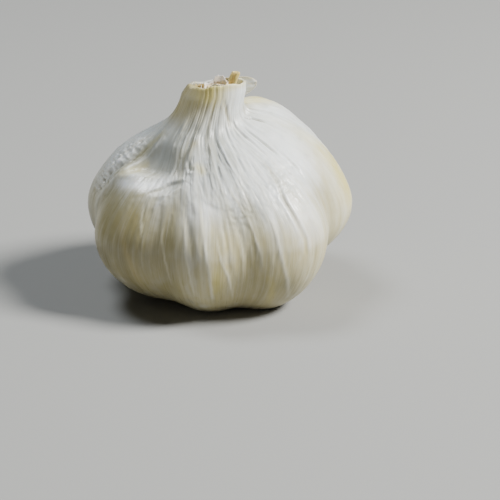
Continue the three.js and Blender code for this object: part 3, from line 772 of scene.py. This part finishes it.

# Marks on the skin, some of them painted light: colour, strength, half width in millimetres and a path of (turn,
# height) points.
skinMarks = [
    # painted highlight along the ridge at the top of the left clove
    ("bright", 1.35, 1.2, [(-74, 26.4), (-66, 27), (-58, 27.5), (-49, 27.6), (-40, 28.3), (-32, 29.4)]),
    ("yellow", 0.55, 1.4, [(-77, 26.8), (-73, 28.3), (-69, 29.4), (-66, 30.4)]),
    # painted highlight on the crinkled strip
    ("bright", 0.6, 1.9, [(-88, 22), (-87, 26), (-87, 30), (-86, 34.5)]),
    ("yellow", 0.4, 0.9, [(-75, 28.4), (-77, 31), (-76, 34), (-71, 37)]),
    # painted shade along the crease under that ridge
    ("olive", 0.55, 0.4, [(-54, 25.2), (-47, 26.3), (-39, 27.5), (-33, 28.6)]),
    ("olive", 0.4, 1.1, [(-80, 24), (-77, 28), (-75, 31), (-72, 34)]),
    ("ochre", 0.5, 0.8, [(-52, 23.5), (-46, 18), (-42, 12), (-42, 6)]),
    ("grey", 0.3, 0.9, [(-58, 25.5), (-51, 22.5), (-45, 17.1)]),
    ("straw", 0.4, 0.6, [(-70, 22), (-68, 15), (-65, 8)]),
    ("olive", 0.6, 0.4, [(38, 33), (36, 29), (36, 26), (38, 22), (39, 16.8)]),
    ("yellow", 0.5, 0.9, [(24, 12), (27, 7), (30, 2.5)]),
    ("olive", 0.45, 0.7, [(14, 18), (17, 12), (19, 6)]),
    # painted shade in the groove between two pleats of the neck
    ("olive", 0.95, 0.38, [(15, 44), (19, 41.8), (22, 40.1), (21, 38)]),
    ("yellow", 0.5, 1, [(-21, 32.5), (-14, 32), (-9, 31)]),
    ("ochre", 0.35, 0.8, [(-30, 36), (-24, 35)]),
    ("cream", 0.6, 1.3, [(84, 33), (75, 27.5), (71, 20), (74, 12.5)]),
    ("ochre", 0.35, 0.9, [(160, 30), (158, 22), (160, 12)]),
    ("straw", 0.35, 0.9, [(-140, 30), (-142, 20), (-141, 10)]),
    ("yellow", 0.4, 0.9, [(-165, 32), (-168, 22), (-167, 12)]),
    ("ochre", 0.35, 0.8, [(178, 28), (177, 18), (179, 8)]),
]


# Stains of the neck, with painted shade on its left side: colour, strength, how much the bands vary it, turn
# round the neck's axis, half width in degrees, the heights between which it sets in and how raggedly it does.
# The olive on the left is partly the neck's own stain and partly painted shade on the side away from the key
# light.
neckStainsAndShade = [
    ("olive", 0.80, 0.3, -85, 48.7, 36, 41, 0),
    ("ochre", 0.35, 0, -85, 48.7, 37, 41, 0),
    ("cream", 0.75, 0, -30, 51.6, 38, 43, 0),
    ("yellow", 0.80, 0.3, -8, 31.5, 41.6, 44.6, 1.3),
]
glossSpots = [(0.45, -87, 8, 29, 7), (0.4, -56, 22.9, 27.2, 2)]
# painted shade: the fan's dark lines lie in the folds under the neck
fanSpot = (-12, 35.5, 36, 5)  # the fine dark lines under the neck
bareStrip = (-87, 8, 29, 6)  # where the creases of the crinkled strip stay pale


# The skin's colour at each point, painted shade and painted highlights included, how dull it is there and the
# strips that its fibres follow. The base is the skin without its fine relief.
def paintSkin(mesh, rings, points, base):
    x, y, z, turn, around, spin, sin, cos = measured(points)
    normals = gridNormals(points)
    close = np.einsum("ijk,ijk->ij", blurred(points, 3, 5) - points, normals)
    wide = np.einsum("ijk,ijk->ij", blurred(points, 14, 30) - points, normals)
    wide -= blurred(wide, 24, 70)
    outerSide = beyondFoot(base[..., 2])
    skin = (base, gridNormals(base), turn, outerSide)
    colour = np.zeros(points.shape) + paperSkin["loose"]

    def cover(name, share):
        colour[:] += np.clip(share, 0, 1)[..., None] * (np.array(paperSkin[name]) - colour)

    def side(centre, half):
        return bump(between(spin, math.radians(centre)) / math.radians(half))

    # cream where the skin is tight, with olive and bright bands
    tongues = 4.5 * noise(9 * sin, 9 * cos, z / 40, 51) + 3.0 * noise(24 * sin, 24 * cos, z / 40, 52)
    tightness = 1 - smooth(z + tongues + 2.5 * layered(x / 9, y / 9, z / 9, 53), 15, 31)
    cover("cream", 0.95 * tightness)
    bands = noise(9 * sin, 9 * cos, z / 40, 54) + 0.4 * noise(22 * sin, 22 * cos, z / 34, 55)
    even = 1 - np.maximum(0.5 * smooth(z, 36, 40), 0.8 * calmness(turn, z))
    cover("olive", 0.55 * smooth(bands, 0.05, 0.75) * (0.15 + 0.85 * tightness))
    cover("bright", 0.40 * smooth(-bands, 0.10, 0.80) * even * (1 - 0.6 * tightness))

    # painted shade in the fan of folds under the neck, then clouds and patches, the patches partly painted light
    fan = side(*fanSpot[:2]) * bump((z - fanSpot[2]) / fanSpot[3])
    lines = noise(17 * sin, 17 * cos, z / 26, 58) + 0.6 * noise(40 * sin, 40 * cos, z / 20, 59)
    cover("grey", 0.95 * fan * smooth(lines, -0.50, 0.25))
    cover("olive", 0.65 * fan * smooth(lines, 0.10, 0.50))
    clouds = layered(x / 3.2, y / 3.2, z / 6, 57)
    cover("grey", 0.40 * smooth(clouds, 0.05, 0.7))
    cover("bright", 0.35 * smooth(-clouds, 0.10, 0.7))
    patchy = 0.82 + 0.30 * layered(x / 2.6, y / 2.6, z / 4.5, 56) + 0.20 * bands
    for name, strength, centre, half, height, reach in skinPatches:
        off = (between(turn, math.radians(centre)) / math.radians(half)) ** 2 + ((z - height) / reach) ** 2
        cover(name, strength * patchy * np.exp(-off ** 1.4) * outerSide)
    for name, strength, varied, centre, half, low, high, ragged in neckStainsAndShade:
        cover(name, (strength + varied * bands) * side(centre, half) * smooth(z + ragged * lines, low, high))
    cover("yellow", 0.5 * smooth(z, 45.2, 46.6))

    # marks and veins
    for name, strength, width, path in skinMarks:
        cover(name, strength * traced(path, width, skin) * patchy)
    # painted shade: the left clove's face below its ridge is kept free of pale veins and bright crests
    shadedLeftFace = bump(between(turn, math.radians(-58)) / 0.5) * (1 - smooth(z, 24, 27))
    shown = (1 - calmness(turn, z)) * (1 - 0.85 * shadedLeftFace) * (1 - 0.7 * smooth(z, 40, 43))
    cover("vein", 0.36 * longVeins(spin, z, around) * shown * np.where(outerSide, 1, 0.3))
    for strength, width, path in paleVeins:
        cover("vein", strength * traced(path, width, skin))

    # valleys: the skin's olive over the gaps, deepened as painted shade; creases: painted shade; crests: painted
    # highlight, held back on the stained and shaded left side
    stainedAndShaded = [side(-85, 48.7) * smooth(z, 35, 40), side(-8, 31.5) * smooth(z, 41, 43.5), shadedLeftFace]
    bare = 0.4 * spot(turn, z, *bareStrip) + 0.5 * smooth(z, 38, 42)
    cover("olive", 0.40 * smooth(wide, 0.15, 1.3))
    cover("bright", 0.40 * smooth(-close, 0.02, 0.22) * (1 - 0.8 * np.maximum.reduce(stainedAndShaded)))
    cover("crease", 0.65 * smooth(close, 0.03, 0.25) * (1 - bare))
    glossy = sum(strength * spot(turn, z, *where) for strength, *where in glossSpots)
    climb = np.cumsum(np.linalg.norm(np.diff(points, axis=0, prepend=points[:1]), axis=-1), axis=0)
    strip = np.stack([10 * sin, -10 * cos, climb], axis=-1)
    after = len(rings) - 1 - len(points)

    def spread(values):
        whole = np.concatenate([values[:1], values, np.repeat(values[-1:], after, axis=0)], axis=0)
        ends = np.stack([values[0, 0], values[-1, 0]])
        return np.concatenate([whole.reshape(-1, *values.shape[2:]), ends], axis=0)

    # painted shade: the rim's inner rings darken towards the crease colour at the back left, inside the neck
    painted = spread(colour)
    rim = painted[(1 + len(points)) * z.shape[1]:-2].reshape(after, -1, 3)
    shaded = bump(between(turn[-1], math.radians(-115)))[None, :, None]
    rim += shaded * np.linspace(0.5, 0.9, after)[:, None, None] * (np.array(paperSkin["crease"]) - rim)
    addVectors(mesh, "paint", painted)
    addVectors(mesh, "strip", spread(strip))
    addValues(mesh, "dull", spread(1 - glossy))
    addValues(mesh, "fibrous", spread(even))


def buildSkin():
    turns, base = skinGrid()
    low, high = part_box("bulb")
    middleX = (base[..., 0].min() + base[..., 0].max()) / 2
    place = np.array([(low[0] + high[0]) / 2 / mm - middleX, bulb["shiftY"], 0])
    relief, normals = fineRelief(base)
    points = base + normals * relief[..., None]
    points[..., 2] = np.where(base[..., 2] <= 0, 0, np.maximum(points[..., 2], 0))
    radius, ceiling = bulb["pocket"]["radius"], bulb["pocket"]["ceiling"]
    corner = np.stack([radius * np.sin(turns), -radius * np.cos(turns), ceiling + 0 * turns], axis=-1)
    rings = np.array([corner] + list(points) + rimRings(points[-1]))
    floorX, floorY = neckAxis(np.array(neck["floor"]))
    ends = [[0, 0, ceiling], [float(floorX), float(floorY), neck["floor"]]]
    flat = np.vstack([rings.reshape(-1, 3), ends])
    faces = closedFaces(len(rings), turns.size)
    skin = meshFrom("garlicSkin", flat + place, faces, paperSkinMaterial(), "papery_skin", "bulb")
    paintSkin(skin.data, rings, points, base)
    print("garlic skin:", len(flat), "points, placed at", np.round(place, 3))
    return place


# The rings of the rim: how far in over the wall, and how far over the cut, or down at the floor.
rimSteps = ((0.25, 0.10), (0.6, 0.02), (0.9, -0.12), (1.0, -0.4), (1.1, -1.6), (1.3, None))


# From the cut over the skin's edge and down into the open neck, with the edge folded in at the left.
def rimRings(rim):
    ox, oy = neckAxis(rim[:, 2])
    dx, dy = rim[:, 0] - ox, rim[:, 1] - oy
    away = np.hypot(dx, dy)
    evenAway = blurred(away[None, :], 0, 9)[0]
    folded = bump(between(np.arctan2(dx, -dy), math.radians(neck["foldedTurn"])) / 0.5)
    wall = neck["wall"] + neck["foldedWall"] * folded
    rings = []
    for share, dip in rimSteps:
        z = np.full(away.shape, neck["floor"]) if dip is None else rim[:, 2] + dip - 0.5 * folded * share
        cx, cy = neckAxis(z)
        scale = ((evenAway if share > 1 else away) - wall * share) / away
        rings.append(np.stack([cx + dx * scale, cy + dy * scale, z], axis=-1))
    return rings


place = buildSkin()


# Dry, fibrous finishes of the pieces in and at the cut neck.
# Each: pale, dark, patch and edge colour, fibres across and along, and how much light comes through.
dryFinishes = {
    "peeledSkin": (
        (0.93, 0.92, 0.87), (0.62, 0.59, 0.46), (0.62, 0.6, 0.5), (0.55, 0.46, 0.26), 2.2, 0.35, 0.22,
    ),
    "innerPaper": (
        (0.5, 0.42, 0.22), (0.26, 0.18, 0.07), (0.38, 0.28, 0.1), (0.56, 0.48, 0.26), 3.0, 0.35, 0.12,
    ),
    "leafBase": (
        (0.76, 0.73, 0.6), (0.36, 0.26, 0.1), (0.36, 0.25, 0.08), (0.86, 0.85, 0.8), 3.2, 0.3, 0.1,
    ),
    "pinkLeafBase": (
        (0.86, 0.78, 0.66), (0.62, 0.46, 0.34), (0.8, 0.66, 0.5), (0.84, 0.82, 0.78), 2.0, 0.3, 0.3,
    ),
    "dryStalk": (
        (0.62, 0.5, 0.28), (0.26, 0.16, 0.06), (0.48, 0.34, 0.14), (0.7, 0.56, 0.3), 4.0, 0.5, 0.0,
    ),
    "ochreStub": (
        (0.86, 0.74, 0.32), (0.56, 0.4, 0.1), (0.78, 0.6, 0.16), (0.5, 0.35, 0.14), 2.4, 0.3, 0.15,
    ),
}


def dryMaterial(name):
    pale, dark, patchColour, edgeColour, across, along, through = dryFinishes[name]
    w = Wiring(name)
    strip = w.attribute("strip", "Vector")
    fibre = w.noise(w.scaled(strip, (across, across, along)), 1.0, 4, 0.65, 0.2)
    patch = w.noise(w.scaled(strip, (0.45, 0.45, 0.35)), 1.0, 3, 0.55, 0.4)
    grain = w.noise(w.position(), 900.0, 3, 0.6)
    colour = w.mix(w.span(patch, 0.38, 0.66), pale, patchColour)
    # the tone: a stain on the rolled sheets and stems, painted shade on the peeled flap
    colour = w.mix(w.times(w.attribute("tone"), w.span(fibre, 0.25, 0.6, 0.6, 1.0)), colour, patchColour)
    colour = w.mix(w.span(fibre, 0.48, 0.78, 0.0, 0.85), colour, dark)
    colour = w.mix(w.times(w.attribute("edge"), w.span(grain, 0.3, 0.7, 0.5, 1.0)), colour, edgeColour)
    normal = w.bump(grain, 0.25, 0.00015, w.bump(fibre, 0.5, 0.00018))
    return w.finish(
        colour, w.span(fibre, 0.3, 0.7, 0.45, 0.75), normal, Subsurface_Weight=through, Subsurface_Scale=0.5,
        Subsurface_Radius=(0.003, 0.0022, 0.0012), Specular_IOR_Level=0.35, Sheen_Weight=0.05,
    )


# A closed thin piece from its two sides, each an array of columns by rows of points.
def sheetPiece(name, front, back, strip, tone, edge, finish, slot, *nodes):
    columns, rows = front.shape[:2]
    loops = np.concatenate([front, back[:, ::-1]], axis=1)
    size = 2 * rows
    faces = [face[::-1] for face in ringFaces(columns, size)]
    last = (columns - 1) * size
    for j in range(rows - 1):
        k = size - 1 - j
        faces.append((j, j + 1, k - 1, k))
        faces.append((last + k, last + k - 1, last + j + 1, last + j))
    piece = meshFrom(name, loops.reshape(-1, 3) + place, faces, dryMaterial(finish), slot, *nodes)
    for label, values in (("tone", tone), ("edge", edge)):
        addValues(piece.data, label, np.concatenate([values, values[:, ::-1]], axis=1))
    addVectors(piece.data, "strip", np.concatenate([strip, strip[:, ::-1]], axis=1).reshape(-1, 3))
    print(name + ":", len(piece.data.polygons), "faces")


# A closed body from rings of points, with one more point in the middle of each end.
def closedBody(rings):
    ends = np.array([rings[0].mean(0), rings[-1].mean(0)])
    return np.vstack([rings.reshape(-1, 3), ends]), closedFaces(len(rings), rings.shape[1])


# A place in the neck: a turn round its axis, a distance from it and a height.
def inNeck(turn, radius, z):
    cx, cy = neckAxis(z)
    r = radius * (1 - tuckedIn(turn) / neck["radius"])
    return np.stack([cx + r * np.sin(turn), cy - r * neck["oval"] * np.cos(turn), z + 0 * turn], axis=-1)


# Sheets rolled round the neck's axis. proud: height over the cut. lean: how far out the part over the cut
# leans. peaks: torn scraps as turn, half width in degrees and height. tone: turn and half width of the stain.
rolledSheets = {
    "innerSkin": {
        "turns": (-179, 179), "radius": (5.55, 5.55), "thick": 0.16, "proud": -0.75, "ragged": 0.16,
        "winding": 0.10, "count": 9, "fold": -1.0, "lean": 0, "peaks": [(-120, 14, 0.6), (170, 30, 0.5)],
        "tone": (-30, 90), "columns": 420, "seed": 61,
    },
    "outerLeafBase": {
        "turns": (-200, 95), "radius": (4.1, 3.9), "thick": 0.26, "proud": -0.35, "ragged": 0.16,
        "winding": 0.38, "count": 5, "fold": 0.0, "lean": 0, "peaks": [(2, 26, 0.45), (-140, 30, 0.15)],
        "tone": (-135, 78), "columns": 360, "seed": 62,
    },
    "innerLeafBase": {
        "turns": (25, 245), "radius": (2.9, 2.8), "thick": 0.30, "proud": -0.3, "ragged": 0.22,
        "winding": 0.12, "count": 4, "fold": 0.0, "lean": 0.5,
        "peaks": [(157, 24, 1.4), (112, 26, 0.4), (205, 30, 0.5)], "tone": (110, 40), "columns": 280, "seed": 63,
    },
}


def rolledSheet(name, finish, slot, *nodes):
    facts = rolledSheets[name]
    first, last = np.radians(facts["turns"])
    share = np.linspace(0, 1, facts["columns"])[:, None]
    level = (1 - (1 - np.linspace(0, 1, 26)) ** 1.6)[None, :]
    turn = first + (last - first) * share + 0 * level
    sin, cos = np.sin(turn), np.cos(turn)
    seed = facts["seed"]
    starts, ends = facts["radius"]
    radius = starts + (ends - starts) * share
    radius = radius + facts["winding"] * np.sin(facts["count"] * turn + seed) * (0.4 + 0.6 * level)
    radius = radius + facts["fold"] * bump(between(turn, math.radians(neck["foldedTurn"])) / 0.6)
    radius = radius + 0.16 * noise(5 * sin, 5 * cos, 1.5 * level, seed) * level
    radius = radius + 0.02 * np.sin(70 * turn + 4 * noise(3 * sin, 3 * cos, level, seed + 1))
    rim = inNeck(turn, radius, neck["cutHeight"])
    cut = cutHeight(rim[..., 0], rim[..., 1])
    tear = noise(5 * sin, 5 * cos, 0, seed + 2) + 0.3 * noise(15 * sin, 15 * cos, 0, seed + 3)
    top = cut + facts["proud"] + facts["ragged"] * tear
    for centre, half, height in facts["peaks"]:
        off = (np.degrees(turn) - centre) / half
        top = top + height * bump(off ** 2)
    z = neck["floor"] + (top - neck["floor"]) * level
    radius = radius + facts["lean"] * np.maximum(0, z - cut)
    thick = facts["thick"] * (1 - 0.55 * smooth(level, 0.7, 1.0)) / 2
    front, back = inNeck(turn, radius + thick, z), inNeck(turn, radius - thick, z)
    strip = np.stack([radius * sin, -radius * cos, z], axis=-1)
    stain, half = facts["tone"]
    tone = bump(between(turn, math.radians(stain)) / math.radians(half)) * smooth(level, 0.3, 0.9)
    edge = 0.8 * smooth(level, 0.90, 1.0) * (1 - tone)
    sheetPiece(name, front, back, strip, tone, edge, finish, slot, *nodes)


rolledSheet("innerSkin", "innerPaper", "papery_skin", "bulb")
rolledSheet("outerLeafBase", "leafBase", "leaf_base", "outer_leaf_base")
rolledSheet("innerLeafBase", "pinkLeafBase", "inner_leaf_base", "inner_leaf_base")


# The flap of outer skin that has peeled away from the neck at the back right.
lobe = {
    "turn": 156, "sunk": 0.8, "length": 7.0, "rise": 45.9, "lift": 1.2, "round": 1.5, "drop": 4.9,
    "taper": 0.75, "thick": 0.22, "curl": 0.7, "along": 90, "across": 60,
}


def peeledLobe():
    a = math.radians(lobe["turn"])
    root = inNeck(np.array(a), neck["radius"] - lobe["sunk"], np.array(neck["cutHeight"]))
    u = np.linspace(0, 1, lobe["along"])[:, None]
    v = np.linspace(0, 1, lobe["across"])[None, :]
    edge = lobe["rise"] + lobe["lift"] * u + 0.10 * noise(6 * u, 3, 0, 71) * smooth(u, 0.2, 0.5)
    high = edge - lobe["round"] * u ** 5
    low = edge - lobe["drop"] * np.sqrt(1 - lobe["taper"] * u ** 2.5)
    z = low + (high - low) * v
    ripple = 0.16 * noise(2.2 * u, 2.5 * v, 0, 72) + 0.05 * noise(9 * u, 3 * v, 0, 73)
    out = lobe["curl"] * u * u * (1 + 0.5 * v * v) + ripple * smooth(u, 0.15, 0.5)
    sides = []
    for offset in (lobe["thick"] / 2, -lobe["thick"] / 2):
        away = out + offset * (1 - 0.5 * smooth(u, 0.8, 1.0))
        x = root[0] - lobe["length"] * u * math.cos(a) + away * math.sin(a)
        y = root[1] - lobe["length"] * u * math.sin(a) - away * math.cos(a)
        sides.append(np.stack([x, y, z], axis=-1))
    strip = np.stack([z * 2.5, 0 * z, 6 * u + 0 * v], axis=-1)
    rim = np.maximum(smooth(v, 0.93, 1.0) + 0 * u, smooth(u, 0.95, 1.0) + 0 * v) * 0.8
    # painted shade: the flap's lower part towards its tip is mixed toward the darker patch colour
    tone = 0.5 * smooth(u, 0.6, 1.0) * (1 - v)
    sheetPiece("peeledLobe", sides[0], sides[1], strip, tone, rim, "peeledSkin", "papery_skin", "bulb")


peeledLobe()


# Dry stems in the neck: a path, the half width and depth along it as (share, width, depth), and how torn it is.
stems = {
    "centralStalk": {
        "path": [(-1.3, 0.2, 41.5), (-1.1, 0.3, 43), (-0.8, 0.3, 44.6), (-0.6, 0.4, 45.4)],
        "girth": [(0, 1.7, 1.4), (0.4, 1.6, 1.3), (0.9, 1.75, 1.4), (1, 1.6, 1.3)],
        "turn": 20, "lump": 0.07, "torn": 0.35, "dent": 0.7, "seed": 81,
    },
    "dryLeafStub": {
        "path": [(2.7, 2.7, 41.5), (2.9, 2.8, 44), (3.3, 2.7, 46.2), (4.0, 2.6, 47.9)],
        "girth": [(0, 0.9, 0.6), (0.45, 0.95, 0.6), (0.75, 1.05, 0.7), (0.93, 1.0, 0.65), (1, 0.8, 0.5)],
        "turn": -28, "lump": 0.10, "torn": 0.20, "dent": 0.35, "seed": 82,
    },
}


def dryStem(name, finish, node):
    facts = stems[name]
    sides, rings = 72, 48
    curve = curveThrough(facts["path"], 24)
    share = np.linspace(0, 1, rings)[:, None]
    at = np.linspace(0, 1, len(curve))
    centre = np.stack([np.interp(share[:, 0], at, curve[:, k]) for k in range(3)], axis=-1)[:, None, :]
    girth = np.array(facts["girth"])
    width, depth = (np.interp(share, girth[:, 0], girth[:, k]) for k in (1, 2))
    t = (np.arange(sides) * 2 * math.pi / sides)[None, :]
    sin, cos = np.sin(t) + 0 * share, np.cos(t) + 0 * share
    seed = facts["seed"]
    rough = 1 + facts["lump"] * noise(1.6 * cos, 1.6 * sin, 2.5 * share, seed)
    rough = rough + 0.5 * facts["lump"] * noise(5 * cos, 5 * sin, 1.5 * share, seed + 1)
    turn = math.radians(facts["turn"])
    tear = noise(2 * cos, 2 * sin, 0, seed + 2) + 0.5 * noise(7 * cos, 7 * sin, 0, seed + 3)
    tear = facts["torn"] * tear * smooth(share, 0.75, 1)
    loops = []
    for inset, dip in ((1, 0), (0.86, 0.02), (0.72, -0.25), (0.5, -facts["dent"]), (0.12, -facts["dent"])):
        rows = slice(None) if inset == 1 else slice(-1, None)
        a, b = (width * rough * cos)[rows] * inset, (depth * rough * sin)[rows] * inset
        loops.append(centre[rows] + np.stack([
            a * math.cos(turn) - b * math.sin(turn), a * math.sin(turn) + b * math.cos(turn), tear[rows] + dip,
        ], axis=-1))
    loops = np.concatenate(loops, axis=0)
    flat, faces = closedBody(loops)
    piece = meshFrom(name, flat + place, faces, dryMaterial(finish), "dry_stalk", node)
    end = np.concatenate([smooth(share[:, 0], 0.9, 1.0), np.full(len(loops) - rings, 0.3)])
    addValues(piece.data, "edge", np.append(np.repeat(end, sides), [0, 0]))
    addValues(piece.data, "tone", np.full(len(flat), 0.3))
    addVectors(piece.data, "strip", flat)
    print(name + ":", len(faces), "faces")


dryStem("centralStalk", "dryStalk", "stalk")
dryStem("dryLeafStub", "ochreStub", "dry_leaf_stub")


# The woody plate between the feet, with the roots cut off short.
rootPlate = {
    "radius": 7.3, "rim": 5.6, "thick": 3.2, "dish": 0.5, "bevel": 0.8, "stubs": 150, "hairs": 46, "seed": 91,
}
corkFinish = {"pale": (0.44, 0.33, 0.19), "dark": (0.12, 0.08, 0.05), "dust": (0.60, 0.52, 0.40)}


def corkMaterial():
    w = Wiring("corkyRoots")
    where = w.position()
    coarse = w.noise(where, 420.0, 5, 0.6, 0.3)
    grain = w.noise(where, 2200.0, 4, 0.6)
    colour = w.mix(w.span(coarse, 0.35, 0.62), corkFinish["dark"], corkFinish["pale"])
    colour = w.mix(w.span(grain, 0.55, 0.80, 0.0, 0.5), colour, corkFinish["dust"])
    colour = w.mix(w.attribute("tip"), colour, corkFinish["dust"])
    normal = w.bump(grain, 0.5, 0.0002, w.bump(coarse, 0.6, 0.0005))
    return w.finish(colour, w.span(grain, 0.3, 0.7, 0.75, 0.95), normal, Specular_IOR_Level=0.2)


def buildRoots():
    facts = rootPlate
    top, bottom = bulb["pocket"]["ceiling"], bulb["pocket"]["ceiling"] - facts["thick"]
    radius, rim, dish, bevel = facts["radius"], facts["rim"], facts["dish"], facts["bevel"]
    profile = [(0.4, top), (radius - bevel, top), (radius, top - bevel)]
    profile += [(radius, bottom + bevel), (rim + 0.8, bottom + 0.3)]
    profile += [(rim * k, bottom + dish * (1 - k) ** 0.8) for k in (1, 0.85, 0.7, 0.55, 0.4, 0.25, 0.08)]
    fineProfile = curveThrough([(r, z, 0) for r, z in profile], 5)
    sides = 160
    t = (np.arange(sides) * 2 * math.pi / sides)[None, :]
    r, z = fineProfile[:, 0][:, None], fineProfile[:, 1][:, None]
    crust = 0.25 * layered(r * np.sin(t) / 1.3, r * np.cos(t) / 1.3, z / 1.3, facts["seed"])
    swell = 1 + 0.02 * np.sin(8 * t + 1)
    under = z < top - 0.1
    r2 = np.minimum(r * swell + np.where(under, crust, 0) * smooth(r, 4, 7), radius)
    z2 = z + np.where(z < bottom + 0.8, crust + 0.12 * np.sin(r * 5), 0) + 0 * t
    loops = np.stack([r2 * np.sin(t), -r2 * np.cos(t), z2], axis=-1)[::-1]
    flat, faces = closedBody(loops)
    cork = corkMaterial()
    plate = meshFrom("rootPlate", flat + place, faces, cork, "root_plate", "root_plate")
    addValues(plate.data, "tip", np.zeros(len(flat)))
    rootTubes("rootStubs", cork, facts["stubs"], (0.22, 0.42), (0.8, 1.9), 9, 6, bottom + dish * 0.5)
    rootTubes("rootHairs", cork, facts["hairs"], (0.07, 0.11), (1.2, 2.2), 6, 14, bottom + dish * 0.5)


# Tapered tubes that hang from the plate, splayed outwards, each a little bent and cut off at the end.
def rootTubes(name, material, count, girths, lengths, sides, rings, level):
    draw = np.random.RandomState(rootPlate["seed"] + count)
    points, faces, tips = [], [], []
    for i in range(count):
        away = (rootPlate["rim"] + 0.5) * math.sqrt((i + 0.5) / count)
        turn = i * math.pi * (3 - math.sqrt(5)) + draw.uniform(-0.2, 0.2)
        thick, length = draw.uniform(*girths), draw.uniform(*lengths)
        lean = 0.55 * away / rootPlate["rim"] + draw.uniform(-0.25, 0.25)
        sway, wild = draw.uniform(0, 2 * math.pi), draw.uniform(0.1, 0.35) * (2.2 if rings > 10 else 1)
        base = np.array([away * math.cos(turn), away * math.sin(turn), level + 0.4])
        out = np.array([math.cos(turn), math.sin(turn), 0])
        start = len(points)
        for ring in range(rings):
            share = ring / (rings - 1)
            centre = base + out * lean * length * share + np.array([0, 0, -(length + 0.4) * share])
            centre += wild * share ** 2 * np.array([math.cos(sway + 3 * share), math.sin(sway + 3 * share), 0])
            centre[2] = max(centre[2], 0.35)
            girth = thick * (1.15 - 0.35 * share)
            for k in range(sides):
                a = 2 * math.pi * k / sides
                points.append(centre + girth * np.array([math.cos(a), math.sin(a), 0]) * draw.uniform(0.9, 1.1))
                tips.append(0.8 if ring == rings - 1 else 0.0)
        faces += [face[::-1] for face in ringFaces(rings, sides, start)]
        faces.append([start + k for k in range(sides)])
        faces.append([start + (rings - 1) * sides + k for k in range(sides)][::-1])
    piece = meshFrom(name, np.array(points) + place, faces, material, "root_plate", "root_plate")
    addValues(piece.data, "tip", tips)
    print(name + ":", len(faces), "faces")


buildRoots()
